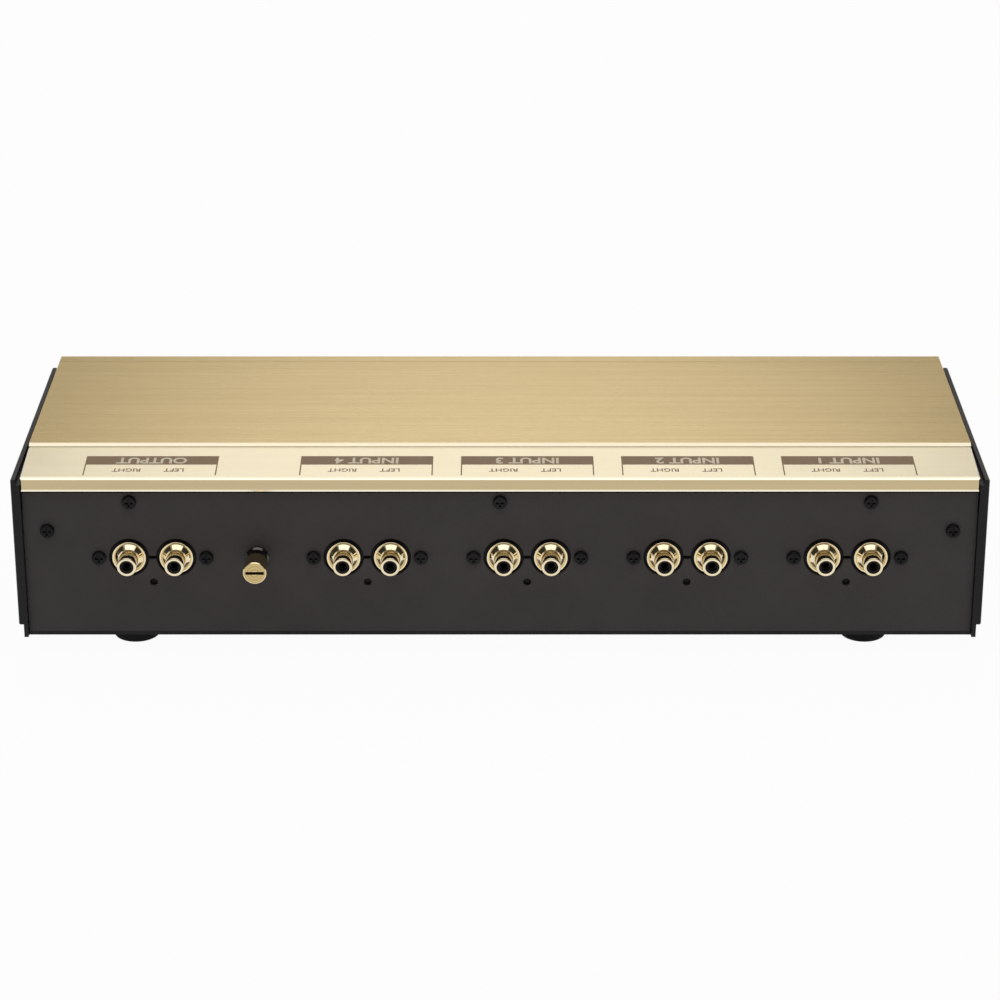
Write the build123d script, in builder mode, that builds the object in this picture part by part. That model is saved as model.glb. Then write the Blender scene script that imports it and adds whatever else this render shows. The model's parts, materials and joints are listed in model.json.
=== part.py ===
"""Audio source selector: a low, wide hi-fi casing that connects one of four stereo inputs to one output.

Millimetres. X runs along the width, the front faces -Y, the rear panel with its jacks faces +Y, Z is up
and the floor is at zero. Left and right are as seen from the front. The selector switch stands at the
rear, beside the jacks on the signal board, and a long shaft brings its turn from the knob.
"""

import os
from math import asin, cos, degrees, radians, sin

from build123d import *

os.makedirs("parts", exist_ok=True)

# Casing
width = 410.0  # over the side skins
casing_depth = 140.0  # front face to the rear ends of the side skins
body_height = 77.0  # underside of the tray to the top face
skin_sheet = 2.0
tray_sheet = 1.8
side_gap = 0.3  # between a side wall and the gold pieces beside it
skin_rise = 5.9  # underside of the tray up to a skin's lower edge
skin_drop = 4.6  # top face down to a skin's upper edge
skin_setback = 3.6  # front face back to the skins' front ends
skin_edge = 0.4  # chamfer round a skin's outer face
wall_step = 2.5  # a skin's upper edge down to the wall's inside it
front_thickness = 8.0
front_chamfer = 1.0
subpanel_sheet = 2.0
flange_depth = 16.0  # the sub-panel's folded edges
top_sheet = 5.0
top_edge = 1.2  # chamfer along the top panel's rear edge
seam = 0.2  # hairline between two gold pieces
blind_end = 0.3  # room beyond the end of a screw in a blind hole

# Label strip: an extrusion with a sloping top, a lip over the rear panel and a rib behind the panel
strip_depth = 29.5
strip_step = 1.3  # top face down to the strip's front edge
strip_sheet = 4.1
strip_end_chamfer = 0.5
lip_drop = 3.6  # top face down to the lip's upper edge
lip_height = 6.4
lip_sheet = 2.2
lip_chamfer = 1.0  # along the lip's upper edge
lip_facet_height = 1.0  # of the slight facet along its lower edge
lip_facet_depth = 0.36
ledge_depth = 9.0  # reach under the top panel
ledge_root = 4.0  # the ledge's sheet carried on under the strip
rib_sheet = 5.0
rib_below_screw = 4.5

# Rear panel
rear_recess = 2.5  # rear ends of the skins in to the panel's face
panel_sheet = 2.0
panel_top_gap = 0.7
panel_edge = 0.2

# Jacks, in pairs along the rear panel
jack_rise_share = 0.4675  # of the body's height, underside of the tray up to the jacks' axes
jack_pitch = 20.0  # left to right within a pair
output_share = 0.3585  # of the width, from the middle to the pair
input_1_share = -0.3585
input_pitch_share = 0.1652  # of the width, from one input to the next
jack_hole = 17.0  # clearance hole round each jack
jack_slot = 1.6  # slot that joins the two holes of a pair
flange_diameter = 14.3
flange_proud = 0.6  # the flange's face in front of the panel's face
flange_rim = 0.85  # flat ring round the flange's face
flange_round = 0.3
flange_groove = 0.4  # the ring's face down to the foot of the cone inside it
cone_top_diameter = 9.0
cone_reach = 2.0  # the cone's top in front of the panel's face
barrel_diameter = 8.3
barrel_reach = 10.6  # the barrel's end in front of the panel's face
barrel_round = 0.5
jack_bore = 6.0
insulator_recess = 0.5
insulator_mouth = 3.8
insulator_lead = 2.3  # mouth to the contact's end
contact_diameter = 4.2
contact_bore = 3.25
contact_grip = 7.5  # length that grips the plug's pin
contact_relief = 3.6
contact_relief_depth = 6.5
jack_plate_width = 54.0
jack_plate_height = 30.0
jack_plate_sheet = 3.0
jack_plate_corner = 4.0
jack_thread_beyond = 4.0  # shell beyond the jack plate
jack_nut_across = 11.0
jack_nut_height = 2.5
jack_fit = 0.1  # round a shell in its plate and nut
insulator_beyond = 1.5
locator_drop = 11.4  # jack axis down to the locating peg
locator_diameter = 3.0
locator_hole = 3.4
locator_sunk = 1.7

# Signal board
board_gap = 1.0
board_sheet = 1.6
board_margin = 8.0  # beyond the outer jacks
board_height = 48.0
tail_diameter = 1.8
tail_beyond = 1.5
tail_fit = 0.1

# Ground terminal
ground_share = 0.2505  # of the width, from the middle
ground_reach = 16.8  # its face in front of the rear panel's face
ground_head_diameter = 9.8
ground_head_length = 10.0
ground_head_chamfer = 0.35
ground_slot_length = 7.8  # the head's rim stays whole
ground_slot_width = 1.3
ground_slot_depth = 1.5
ground_washer_sheet = 1.0
ground_washer_diameter = 9.0
ground_base_diameter = 10.0
ground_base_sheet = 1.6
ground_base_chamfer = 0.7
ground_neck_diameter = 7.0
ground_thread = 4.0
ground_fit = 0.08  # round the screw in its base and washer
ground_screw_bite = 8.0  # screw inside the base when it is tight
ground_shank_diameter = 8.0
ground_nut_across = 11.0
ground_nut_height = 3.0
ground_shank_spare = 1.5

# Screws
screw_fit = 0.05  # round each screw in its hole
rear_screw_rise_share = 0.7974  # of the body's height: the three along the top of the rear panel
rear_screw_share = 0.3805  # of the width, from the middle
side_screw_drop = 8.5  # the rib down to the two side screws
side_screw_inset = 10.2  # a side wall's inner face in to its screw
small_head = 6.0
small_head_height = 1.7
small_shank = 2.9
rear_screw_length = 6.5
plate_screw_x = 22.7  # from the middle of a pair
plate_screw_length = 4.6
skin_head = 5.6
skin_head_height = 1.5
skin_screw_low = 10.0  # the skin's lower edge up to its lower screws
skin_screw_high = 8.0  # the rib down to the upper screws
top_screw_length = 5.0
top_screw_width_share = 0.366  # of the width, from the middle
top_screw_share = 0.6  # of the sub-panel's upper flange, from the front
large_head = 7.6
large_head_height = 2.4
large_shank = 3.9
front_screw_width_share = 0.4146  # of the width, from the middle
front_screw_rise_shares = (0.234, 0.766)  # of the body's height
front_screw_length = 7.0
foot_screw_spare = 1.0
recess_share = 0.58  # a cross recess's length in its screw head's diameter
recess_width_share = 0.15
recess_depth_share = 0.55
head_round_share = 0.45  # of the head's height

# Feet
foot_height = 9.0
foot_diameter = 20.0
foot_round = 1.5
foot_share = 0.3842  # of the width, from the middle
foot_rear_inset = 23.3
foot_front_inset = 24.0
foot_pocket = 10.0
foot_pocket_depth = 5.0

# Corner brackets
bracket_leg = 17.0
bracket_sheet = 2.0
bracket_top_gap = 1.0

# Knob, shafts and front bush
knob_rise_share = 0.4935  # of the body's height, underside of the tray up to the knob's axis
knob_diameter = 42.0
knob_length = 22.0
knob_gap = 0.8
knob_skirt = 4.0
knob_grip_inset = 1.0
knob_flutes = 60
knob_flute_diameter = 1.3
knob_chamfer = 1.2
knob_cap = 3.0
knob_dish_diameter = 15.0
knob_dish_depth = 0.5
knob_bore_depth = 17.0
pointer_width = 1.8
pointer_depth = 1.0
pointer_inner = 9.0  # from the axis
shaft_diameter = 6.0
shaft_fit = 0.05
bush_diameter = 10.0
bush_flange = 16.0
bush_flange_sheet = 2.0
bush_short = 0.5  # the bush's end behind the front face
bush_fit = 0.05
coupler_diameter = 14.0
coupler_length = 20.0
coupler_gap = 1.0  # between the two shafts inside the coupler
grub_diameter = 3.0
grub_length = 3.6
grub_socket = 1.5
grub_socket_depth = 1.6
grub_inset = 5.0  # an end of the coupler in to its grub screw
knob_grub_rise = 8.0  # the knob's back to its grub screw
dial_ring_share = 0.78  # its diameter in the body's height
dial_groove_width = 0.8
dial_groove_depth = 0.4
dial_tick_length = 4.0
positions = 4
step_angle = 30.0
first_angle = 135.0  # the pointer in position 1, seen from the front

# Selector switch
switch_gap = 9.0  # between decks, and from the last deck to the board
wafer_sheet = 1.6
wafer_width = 27.0
wafer_height = 48.0
wafer_corner = 5.0
wafer_hole = 17.2
rotor_diameter = 16.8
blade_shaft_width = 5.0
blade_shaft_height = 2.6
blade_fit = 0.05
rod_pitch = 36.0
rod_diameter = 2.8
rod_nut_across = 5.5
rod_nut_height = 2.4
spacer_diameter = 6.0
frame_sheet = 2.0
frame_width = 34.0
switch_bush_diameter = 10.0
switch_bush_length = 6.5
switch_nut_across = 14.0
switch_nut_height = 2.5
wheel_diameter = 20.0
wheel_sheet = 3.0
wheel_gap = 0.5
wheel_notches = 12
notch_diameter = 3.4
notch_outset = 0.4  # notch centres outside the wheel's rim
detent_play = 0.1
spring_sheet = 0.5
spring_width = 2.6
spring_span = 26.0  # between the two posts that carry it
spring_overhang = 1.6
spring_clear = 1.0  # the bump's centre down to the leaf
post_diameter = 2.4
post_end_gap = 2.0  # the posts' ends in front of the first deck
stop_radius = 12.6
stop_lug_width = 4.0
stop_lug_reach = 14.0
stop_lug_root = 9.0
stop_play = 0.1
ring_outer = 8.0
ring_inner = 4.6
ring_sheet = 0.4
tongue_reach = 9.8
tongue_width = 3.0
clip_sheet = 0.4
clip_width = 2.4
clip_lift = 0.5  # over the wafer's face, so that the tongue passes under
clip_inner = 8.4
common_inner = 6.2
rivet_radius = 11.0
rivet_diameter = 2.0
common_angle = 225.0
rear_pin_radius = 17.5
front_pin_radius = 20.5
pin_diameter = 1.2
pin_beyond = 1.0
pin_fit = 0.1
pin_clear = 0.5
stand_sheet = 2.0
stand_width = 60.0
stand_above = 21.0  # the axis up to the stand's upper edge
stand_foot = 22.0
stand_screw_x = 22.0
stand_screw_share = 0.55  # of the stand's foot, from its bend

# Heights
tray_z = foot_height
floor_z = tray_z + tray_sheet
top_z = tray_z + body_height
top_under_z = top_z - top_sheet
skin_low_z = tray_z + skin_rise
skin_high_z = top_z - skin_drop
wall_high_z = skin_high_z - wall_step
strip_top_z = top_z - strip_step
lip_top_z = top_z - lip_drop
lip_low_z = lip_top_z - lip_height
ledge_low_z = top_under_z - subpanel_sheet
jack_z = tray_z + jack_rise_share * body_height
knob_z = tray_z + knob_rise_share * body_height
rear_screw_z = tray_z + rear_screw_rise_share * body_height
rib_low_z = rear_screw_z - rib_below_screw
side_screw_z = rib_low_z - side_screw_drop
skin_screw_zs = (skin_low_z + skin_screw_low, rib_low_z - skin_screw_high)
front_screw_zs = [tray_z + share * body_height for share in front_screw_rise_shares]
dial_ring_diameter = dial_ring_share * body_height

# Widths
wall_x = width / 2 - skin_sheet
wall_inner_x = wall_x - tray_sheet
gold_half = wall_inner_x - side_gap
gold_width = 2 * gold_half
output_x = output_share * width
input_1_x = input_1_share * width
input_pitch = input_pitch_share * width
ground_x = ground_share * width
rear_screw_x = rear_screw_share * width
side_screw_x = wall_inner_x - side_screw_inset
top_screw_x = top_screw_width_share * width
front_screw_x = front_screw_width_share * width
foot_x = foot_share * width

# Depths, so that the whole object from the knob's face to the ground terminal's is centred
knob_reach = knob_gap + knob_length
overall_depth = knob_reach + casing_depth + ground_reach - rear_recess
front_y = knob_reach - overall_depth / 2
rear_y = front_y + casing_depth
front_back_y = front_y + front_thickness
subpanel_back_y = front_back_y + subpanel_sheet
panel_y = rear_y - rear_recess
panel_inner_y = panel_y - panel_sheet
strip_y = rear_y - strip_depth
ledge_front_y = strip_y - ledge_depth
rib_front_y = panel_inner_y - rib_sheet
skin_front_y = front_y + skin_setback
plate_back_y = panel_inner_y - jack_plate_sheet
board_back_y = plate_back_y - jack_thread_beyond - insulator_beyond - board_gap
board_front_y = board_back_y - board_sheet
rear_deck_y = board_front_y - switch_gap  # rear face of the rear wafer
front_deck_y = rear_deck_y - wafer_sheet - switch_gap
frame_back_y = front_deck_y - wafer_sheet - switch_gap
frame_front_y = frame_back_y - frame_sheet
stand_front_y = frame_front_y - stand_sheet
bush_end_y = frame_front_y - switch_bush_length
strip_slope = (strip_top_z - lip_top_z) / strip_depth


def strip_under(y):
    """Height of the label strip's underside."""
    return strip_top_z - strip_sheet - strip_slope * (y - strip_y)


def facing_rear(y, z=0.0):
    """A plane seen from behind: its normal is +Y and its own x runs to the viewer's right."""
    return Plane(origin=(0, y, z), x_dir=(-1, 0, 0), z_dir=(0, 1, 0))


def facing_front(y, z=0.0):
    """A plane seen from the front: its normal is -Y."""
    return Plane(origin=(0, y, z), x_dir=(1, 0, 0), z_dir=(0, -1, 0))


panel_top_z = strip_under(panel_inner_y) - panel_top_gap
pair_names = ("output", "input_4", "input_3", "input_2", "input_1")
pair_xs = (output_x,) + tuple(input_1_x + n * input_pitch for n in (3, 2, 1, 0))
jack_xs = [x + side * jack_pitch / 2 for x in pair_xs for side in (-1, 1)]
plate_screw_xs = [x + side * plate_screw_x for x in pair_xs for side in (-1, 1)]
rear_screw_places = [(-rear_screw_x, rear_screw_z), (0, rear_screw_z), (rear_screw_x, rear_screw_z)]
side_screw_places = [(-side_screw_x, side_screw_z), (side_screw_x, side_screw_z)]
front_screw_places = [(side * front_screw_x, z) for side in (-1, 1) for z in front_screw_zs]
foot_ys = {"front": front_y + foot_front_inset, "rear": rear_y - foot_rear_inset}
foot_places = [(side * foot_x, y) for side in (-1, 1) for y in foot_ys.values()]
skin_screw_ys = (subpanel_back_y + flange_depth / 2, panel_inner_y - bracket_leg / 2)
skin_screw_places = [(y, z) for y in skin_screw_ys for z in skin_screw_zs]
top_screw_ys = (front_back_y + top_screw_share * flange_depth, (ledge_front_y + strip_y) / 2)
top_screw_places = [(x, y) for x in (-top_screw_x, 0, top_screw_x) for y in top_screw_ys]
stand_screw_y = stand_front_y - stand_screw_share * stand_foot
stand_screw_places = [(-stand_screw_x, stand_screw_y), (stand_screw_x, stand_screw_y)]
position_angles = [first_angle - n * step_angle for n in range(positions)]

# A pan head screw on its own axis: the head's seat is at zero and the shank runs down from it
head_round = head_round_share * small_head_height
with BuildPart() as small_screw_head:
    Cylinder(small_head / 2, small_head_height, align=(Align.CENTER, Align.CENTER, Align.MIN))
    fillet(small_screw_head.edges().filter_by(GeomType.CIRCLE).sort_by(Axis.Z)[-1], head_round)
    with Locations((0, 0, small_head_height)):
        for turn in (0, 90):
            Box(
                recess_share * small_head,
                recess_width_share * small_head,
                recess_depth_share * small_head_height,
                rotation=(0, 0, turn),
                align=(Align.CENTER, Align.CENTER, Align.MAX),
                mode=Mode.SUBTRACT,
            )

with BuildPart() as large_screw_head:
    Cylinder(large_head / 2, large_head_height, align=(Align.CENTER, Align.CENTER, Align.MIN))
    large_rim = large_screw_head.edges().filter_by(GeomType.CIRCLE).sort_by(Axis.Z)[-1]
    fillet(large_rim, head_round_share * large_head_height)
    with Locations((0, 0, large_head_height)):
        for turn in (0, 90):
            Box(
                recess_share * large_head,
                recess_width_share * large_head,
                recess_depth_share * large_head_height,
                rotation=(0, 0, turn),
                align=(Align.CENTER, Align.CENTER, Align.MAX),
                mode=Mode.SUBTRACT,
            )

# Chassis tray: a bottom with two side walls that run on to the skins' rear ends
with BuildPart() as chassis_tray:
    with BuildSketch(Plane.XY.offset(tray_z)):
        with Locations((0, (front_back_y + panel_y) / 2)):
            Rectangle(2 * wall_x, panel_y - front_back_y)
        with Locations(*foot_places):
            Circle(large_shank / 2 + screw_fit, mode=Mode.SUBTRACT)
        with Locations(*stand_screw_places):
            Circle(small_shank / 2 + screw_fit, mode=Mode.SUBTRACT)
    extrude(amount=tray_sheet)
    for wall_start in (-wall_x, wall_inner_x):
        with BuildSketch(Plane.YZ.offset(wall_start)):
            with Locations(((skin_front_y + rear_y) / 2, (tray_z + wall_high_z) / 2)):
                Rectangle(rear_y - skin_front_y, wall_high_z - tray_z)
            with Locations(*skin_screw_places):
                Circle(small_shank / 2 + screw_fit, mode=Mode.SUBTRACT)
        extrude(amount=tray_sheet)
chassis_tray.part.label = "chassis_tray"
export_step(chassis_tray.part, "parts/chassis_tray.step")

# Side skins: plain black sheets outside the walls, with countersunk screws
with BuildPart() as countersink:
    with BuildSketch(Plane.XZ):
        with BuildLine():
            Polyline(
                (0, 0),
                (skin_head / 2 + screw_fit, 0),
                (small_shank / 2 + screw_fit, -skin_head_height),
                (small_shank / 2 + screw_fit, -skin_sheet),
                (0, -skin_sheet),
                close=True,
            )
        make_face()
    revolve(axis=Axis.Z)

for side, name in ((-1, "left"), (1, "right")):
    outer_face = Plane(origin=(side * width / 2, 0, 0), x_dir=(0, side, 0), z_dir=(side, 0, 0))
    with BuildPart(outer_face) as side_skin:
        with BuildSketch(outer_face):
            with Locations((side * (skin_front_y + rear_y) / 2, (skin_low_z + skin_high_z) / 2)):
                Rectangle(rear_y - skin_front_y, skin_high_z - skin_low_z)
        extrude(amount=-skin_sheet)
        chamfer(side_skin.faces().sort_by(Axis.X)[-1 if side > 0 else 0].edges(), skin_edge)
        with Locations(*[(side * y, z) for y, z in skin_screw_places]):
            add(countersink.part, mode=Mode.SUBTRACT)
    side_skin.part.label = f"side_skin_{name}"
    export_step(side_skin.part, f"parts/side_skin_{name}.step")

skin_screw_length = skin_sheet + tray_sheet + bracket_sheet
with BuildPart() as skin_screw:
    with BuildSketch(Plane.XZ):
        with BuildLine():
            Polyline(
                (0, 0),
                (skin_head / 2, 0),
                (small_shank / 2, -skin_head_height),
                (small_shank / 2, -skin_screw_length),
                (0, -skin_screw_length),
                close=True,
            )
        make_face()
    revolve(axis=Axis.Z)
    for turn in (0, 90):
        Box(
            recess_share * skin_head,
            recess_width_share * skin_head,
            recess_depth_share * skin_head_height,
            rotation=(0, 0, turn),
            align=(Align.CENTER, Align.CENTER, Align.MAX),
            mode=Mode.SUBTRACT,
        )

left_face = Plane(origin=(-width / 2, 0, 0), x_dir=(0, -1, 0), z_dir=(-1, 0, 0))
right_face = Plane(origin=(width / 2, 0, 0), x_dir=(0, 1, 0), z_dir=(1, 0, 0))
left_screws = [left_face * Location((-y, z)) for y, z in skin_screw_places]
right_screws = [right_face * Location((y, z)) for y, z in skin_screw_places]
with BuildPart() as side_skin_screws:
    with Locations(*left_screws, *right_screws):
        add(skin_screw.part)
side_skin_screws.part.label = "side_skin_screws"
export_step(side_skin_screws.part, "parts/side_skin_screws.step")

# Rear panel: stands on the tray's bottom and its upper edge sits between the strip's lip and rib
with BuildPart() as rear_panel:
    with BuildSketch(facing_rear(panel_y)):
        with Locations((0, (floor_z + panel_top_z) / 2)):
            Rectangle(gold_width, panel_top_z - floor_z)
        with Locations(*[(-x, jack_z) for x in jack_xs]):
            Circle(jack_hole / 2, mode=Mode.SUBTRACT)
        with Locations(*[(-x, jack_z) for x in pair_xs]):
            Rectangle(jack_pitch, jack_slot, mode=Mode.SUBTRACT)
        with Locations(*[(-x, jack_z - locator_drop) for x in pair_xs]):
            Circle(locator_hole / 2, mode=Mode.SUBTRACT)
        with Locations(*[(-x, jack_z) for x in plate_screw_xs]):
            Circle(small_shank / 2 + screw_fit, mode=Mode.SUBTRACT)
        with Locations(*rear_screw_places, *side_screw_places):
            Circle(small_shank / 2 + screw_fit, mode=Mode.SUBTRACT)
        with Locations((-ground_x, jack_z)):
            Circle(ground_shank_diameter / 2 + ground_fit, mode=Mode.SUBTRACT)
    extrude(amount=-panel_sheet)
    panel_rims = rear_panel.faces().sort_by(Axis.Y)[-1].inner_wires().edges()
    chamfer(panel_rims.filter_by(GeomType.CIRCLE).filter_by(lambda e: e.radius > small_shank), panel_edge)
rear_panel.part.label = "rear_panel"
export_step(rear_panel.part, "parts/rear_panel.step")

# Label strip
with BuildPart() as label_strip:
    with BuildSketch(Plane.YZ.offset(-gold_half)):
        with BuildLine():
            Polyline(
                (ledge_front_y, ledge_low_z),
                (ledge_front_y, top_under_z),
                (strip_y, top_under_z),
                (strip_y, strip_top_z),
                (rear_y, lip_top_z),
                (rear_y, lip_low_z),
                (rear_y - lip_sheet, lip_low_z),
                (rear_y - lip_sheet, strip_under(rear_y - lip_sheet)),
                (panel_inner_y, strip_under(panel_inner_y)),
                (panel_inner_y, rib_low_z),
                (rib_front_y, rib_low_z),
                (rib_front_y, strip_under(rib_front_y)),
                (strip_y + ledge_root, strip_under(strip_y + ledge_root)),
                (strip_y + ledge_root, ledge_low_z),
                close=True,
            )
        make_face()
    extrude(amount=gold_width)
    lip_face = label_strip.faces().sort_by(Axis.Y)[-1]
    slope_face = label_strip.faces().filter_by(lambda f: f.normal_at().Z > 0.9).sort_by(Axis.Z)[-1]
    end_edges = (lip_face.edges() + slope_face.edges()).filter_by(Axis.X, reverse=True)
    chamfer(end_edges, strip_end_chamfer)
    lip_face = label_strip.faces().sort_by(Axis.Y)[-1]
    lower_edge = lip_face.edges().filter_by(Axis.X).sort_by(Axis.Z)[0]
    chamfer(lower_edge, lip_facet_height, lip_facet_depth, reference=lip_face)
    upper_edge = label_strip.faces().sort_by(Axis.Y)[-1].edges().filter_by(Axis.X).sort_by(Axis.Z)[-1]
    chamfer(upper_edge, lip_chamfer)
    with Locations(*[facing_rear(panel_inner_y) * Location(place) for place in rear_screw_places]):
        Hole(small_shank / 2 + screw_fit, rear_screw_length - panel_sheet + blind_end)
    with Locations(*[Location((x, top_screw_ys[1], top_under_z)) for x in (-top_screw_x, 0, top_screw_x)]):
        Hole(small_shank / 2 + screw_fit, subpanel_sheet)
label_strip.part.label = "label_strip"
export_step(label_strip.part, "parts/label_strip.step")

# Top panel: a flat brushed sheet between the front panel and the label strip
top_front_y = front_back_y + seam
top_rear_y = strip_y - seam
with BuildPart() as top_panel:
    with BuildSketch(Plane.XY.offset(top_under_z)):
        with Locations((0, (top_front_y + top_rear_y) / 2)):
            Rectangle(gold_width, top_rear_y - top_front_y)
    extrude(amount=top_sheet)
    chamfer(top_panel.faces().sort_by(Axis.Y)[-1].edges().sort_by(Axis.Z)[-1], top_edge)
    with BuildSketch(Plane.XY.offset(top_under_z)):
        with Locations(*top_screw_places):
            Circle(small_shank / 2 + screw_fit)
    extrude(amount=top_screw_length - subpanel_sheet + blind_end, mode=Mode.SUBTRACT)
top_panel.part.label = "top_panel"
export_step(top_panel.part, "parts/top_panel.step")

# Front sub-panel: a sheet behind the front panel with folded sides and a folded top
with BuildPart() as front_subpanel:
    with BuildSketch(facing_front(subpanel_back_y)):
        with Locations((0, (floor_z + top_under_z) / 2)):
            Rectangle(gold_width, top_under_z - floor_z)
        with Locations(*front_screw_places):
            Circle(large_shank / 2 + screw_fit, mode=Mode.SUBTRACT)
        with Locations((0, knob_z)):
            Circle(bush_diameter / 2 + bush_fit, mode=Mode.SUBTRACT)
    extrude(amount=subpanel_sheet)
    with BuildSketch(Plane.XY.offset(ledge_low_z)):
        with Locations((0, front_back_y + flange_depth / 2)):
            Rectangle(gold_width, flange_depth)
        with Locations(*[(x, y) for x, y in top_screw_places if y == top_screw_ys[0]]):
            Circle(small_shank / 2 + screw_fit, mode=Mode.SUBTRACT)
    extrude(amount=subpanel_sheet)
    flange_high_z = wall_high_z - wall_step
    for flange_start in (-wall_inner_x, wall_inner_x - subpanel_sheet):
        with BuildSketch(Plane.YZ.offset(flange_start)):
            flange_middle_y = front_back_y + (flange_depth + subpanel_sheet) / 2
            with Locations((flange_middle_y, (floor_z + flange_high_z) / 2)):
                Rectangle(flange_depth + subpanel_sheet, flange_high_z - floor_z)
            with Locations(*[(y, z) for y, z in skin_screw_places if y == skin_screw_ys[0]]):
                Circle(small_shank / 2 + screw_fit, mode=Mode.SUBTRACT)
        extrude(amount=subpanel_sheet)
front_subpanel.part.label = "front_subpanel"
export_step(front_subpanel.part, "parts/front_subpanel.step")

# Front panel: a thick gold plate with an engraved dial round the knob
bush_front_y = front_y + bush_short
with BuildPart() as front_panel:
    with BuildSketch(facing_front(front_back_y)):
        with Locations((0, tray_z + body_height / 2)):
            Rectangle(gold_width, body_height)
        with Locations((0, knob_z)):
            Circle(bush_diameter / 2 + bush_fit, mode=Mode.SUBTRACT)
    extrude(amount=front_thickness)
    front_rim = front_panel.faces().sort_by(Axis.Y)[0].outer_wire().edges()
    chamfer(front_rim, front_chamfer)
    with BuildSketch(facing_front(front_back_y)):
        with Locations(*front_screw_places):
            Circle(large_shank / 2 + screw_fit)
    extrude(amount=front_screw_length - subpanel_sheet + blind_end, mode=Mode.SUBTRACT)
    with BuildSketch(facing_front(front_y, knob_z)):
        Circle(dial_ring_diameter / 2 + dial_groove_width / 2)
        Circle(dial_ring_diameter / 2 - dial_groove_width / 2, mode=Mode.SUBTRACT)
        for angle in position_angles:
            tick_radius = (dial_ring_diameter + dial_tick_length) / 2
            with Locations((tick_radius * cos(radians(angle)), tick_radius * sin(radians(angle)))):
                Rectangle(dial_tick_length, dial_groove_width, rotation=angle)
    extrude(amount=-dial_groove_depth, mode=Mode.SUBTRACT)
front_panel.part.label = "front_panel"
export_step(front_panel.part, "parts/front_panel.step")

# Corner brackets: angles that join the side walls to the rear panel
bracket_high_z = rib_low_z - bracket_top_gap
for side, name in ((-1, "left"), (1, "right")):
    with BuildPart() as corner_bracket:
        with BuildSketch(Plane.XY.offset(floor_z)):
            with Locations((side * (wall_inner_x - bracket_sheet / 2), panel_inner_y - bracket_leg / 2)):
                Rectangle(bracket_sheet, bracket_leg)
            with Locations((side * (wall_inner_x - bracket_leg / 2), panel_inner_y - bracket_sheet / 2)):
                Rectangle(bracket_leg, bracket_sheet)
        extrude(amount=bracket_high_z - floor_z)
        with Locations(facing_rear(panel_inner_y) * Location((-side * side_screw_x, side_screw_z))):
            Hole(small_shank / 2 + screw_fit, rear_screw_length)
        wall_face = Plane(origin=(side * wall_inner_x, 0, 0), x_dir=(0, side, 0), z_dir=(side, 0, 0))
        with Locations(*[wall_face * Location((side * skin_screw_ys[1], z)) for z in skin_screw_zs]):
            Hole(small_shank / 2 + screw_fit, bracket_sheet)
    corner_bracket.part.label = f"corner_bracket_{name}"
    export_step(corner_bracket.part, f"parts/corner_bracket_{name}.step")

# Screws of the rear panel, the jack plates, the top panel and the front panel
with BuildPart(facing_rear(panel_y)) as rear_panel_screws:
    with Locations(*rear_screw_places, *side_screw_places):
        add(small_screw_head.part)
        Cylinder(small_shank / 2, rear_screw_length, align=(Align.CENTER, Align.CENTER, Align.MAX))
rear_panel_screws.part.label = "rear_panel_screws"
export_step(rear_panel_screws.part, "parts/rear_panel_screws.step")

with BuildPart(facing_rear(panel_y)) as jack_plate_screws:
    with Locations(*[(-x, jack_z) for x in plate_screw_xs]):
        add(small_screw_head.part)
        Cylinder(small_shank / 2, plate_screw_length, align=(Align.CENTER, Align.CENTER, Align.MAX))
jack_plate_screws.part.label = "jack_plate_screws"
export_step(jack_plate_screws.part, "parts/jack_plate_screws.step")

from_below = Plane(origin=(0, 0, ledge_low_z), x_dir=(1, 0, 0), z_dir=(0, 0, -1))
with BuildPart(from_below) as top_panel_screws:
    with Locations(*[(x, -y) for x, y in top_screw_places]):
        add(small_screw_head.part)
        Cylinder(small_shank / 2, top_screw_length, align=(Align.CENTER, Align.CENTER, Align.MAX))
top_panel_screws.part.label = "top_panel_screws"
export_step(top_panel_screws.part, "parts/top_panel_screws.step")

with BuildPart(facing_rear(subpanel_back_y)) as front_panel_screws:
    with Locations(*[(-x, z) for x, z in front_screw_places]):
        add(large_screw_head.part)
        Cylinder(large_shank / 2, front_screw_length, align=(Align.CENTER, Align.CENTER, Align.MAX))
front_panel_screws.part.label = "front_panel_screws"
export_step(front_panel_screws.part, "parts/front_panel_screws.step")

# Feet: rubber, each with its screw up a pocket
for side, side_name in ((-1, "left"), (1, "right")):
    for end_name, foot_y in foot_ys.items():
        with BuildPart() as foot:
            with BuildSketch():
                with Locations((side * foot_x, foot_y)):
                    Circle(foot_diameter / 2)
            extrude(amount=foot_height)
            fillet(foot.faces().sort_by(Axis.Z)[0].edges(), foot_round)
            with Locations(Location((side * foot_x, foot_y, 0), (180, 0, 0))):
                CounterBoreHole(large_shank / 2 + screw_fit, foot_pocket / 2, foot_pocket_depth)
        foot.part.label = f"foot_{end_name}_{side_name}"
        export_step(foot.part, f"parts/foot_{end_name}_{side_name}.step")

foot_screw_length = foot_height - foot_pocket_depth + tray_sheet + foot_screw_spare
pocket_floor = Plane(origin=(0, 0, foot_pocket_depth), x_dir=(1, 0, 0), z_dir=(0, 0, -1))
with BuildPart(pocket_floor) as foot_screws:
    with Locations(*[(x, -y) for x, y in foot_places]):
        add(large_screw_head.part)
        Cylinder(large_shank / 2, foot_screw_length, align=(Align.CENTER, Align.CENTER, Align.MAX))
foot_screws.part.label = "foot_screws"
export_step(foot_screws.part, "parts/foot_screws.step")

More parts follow.
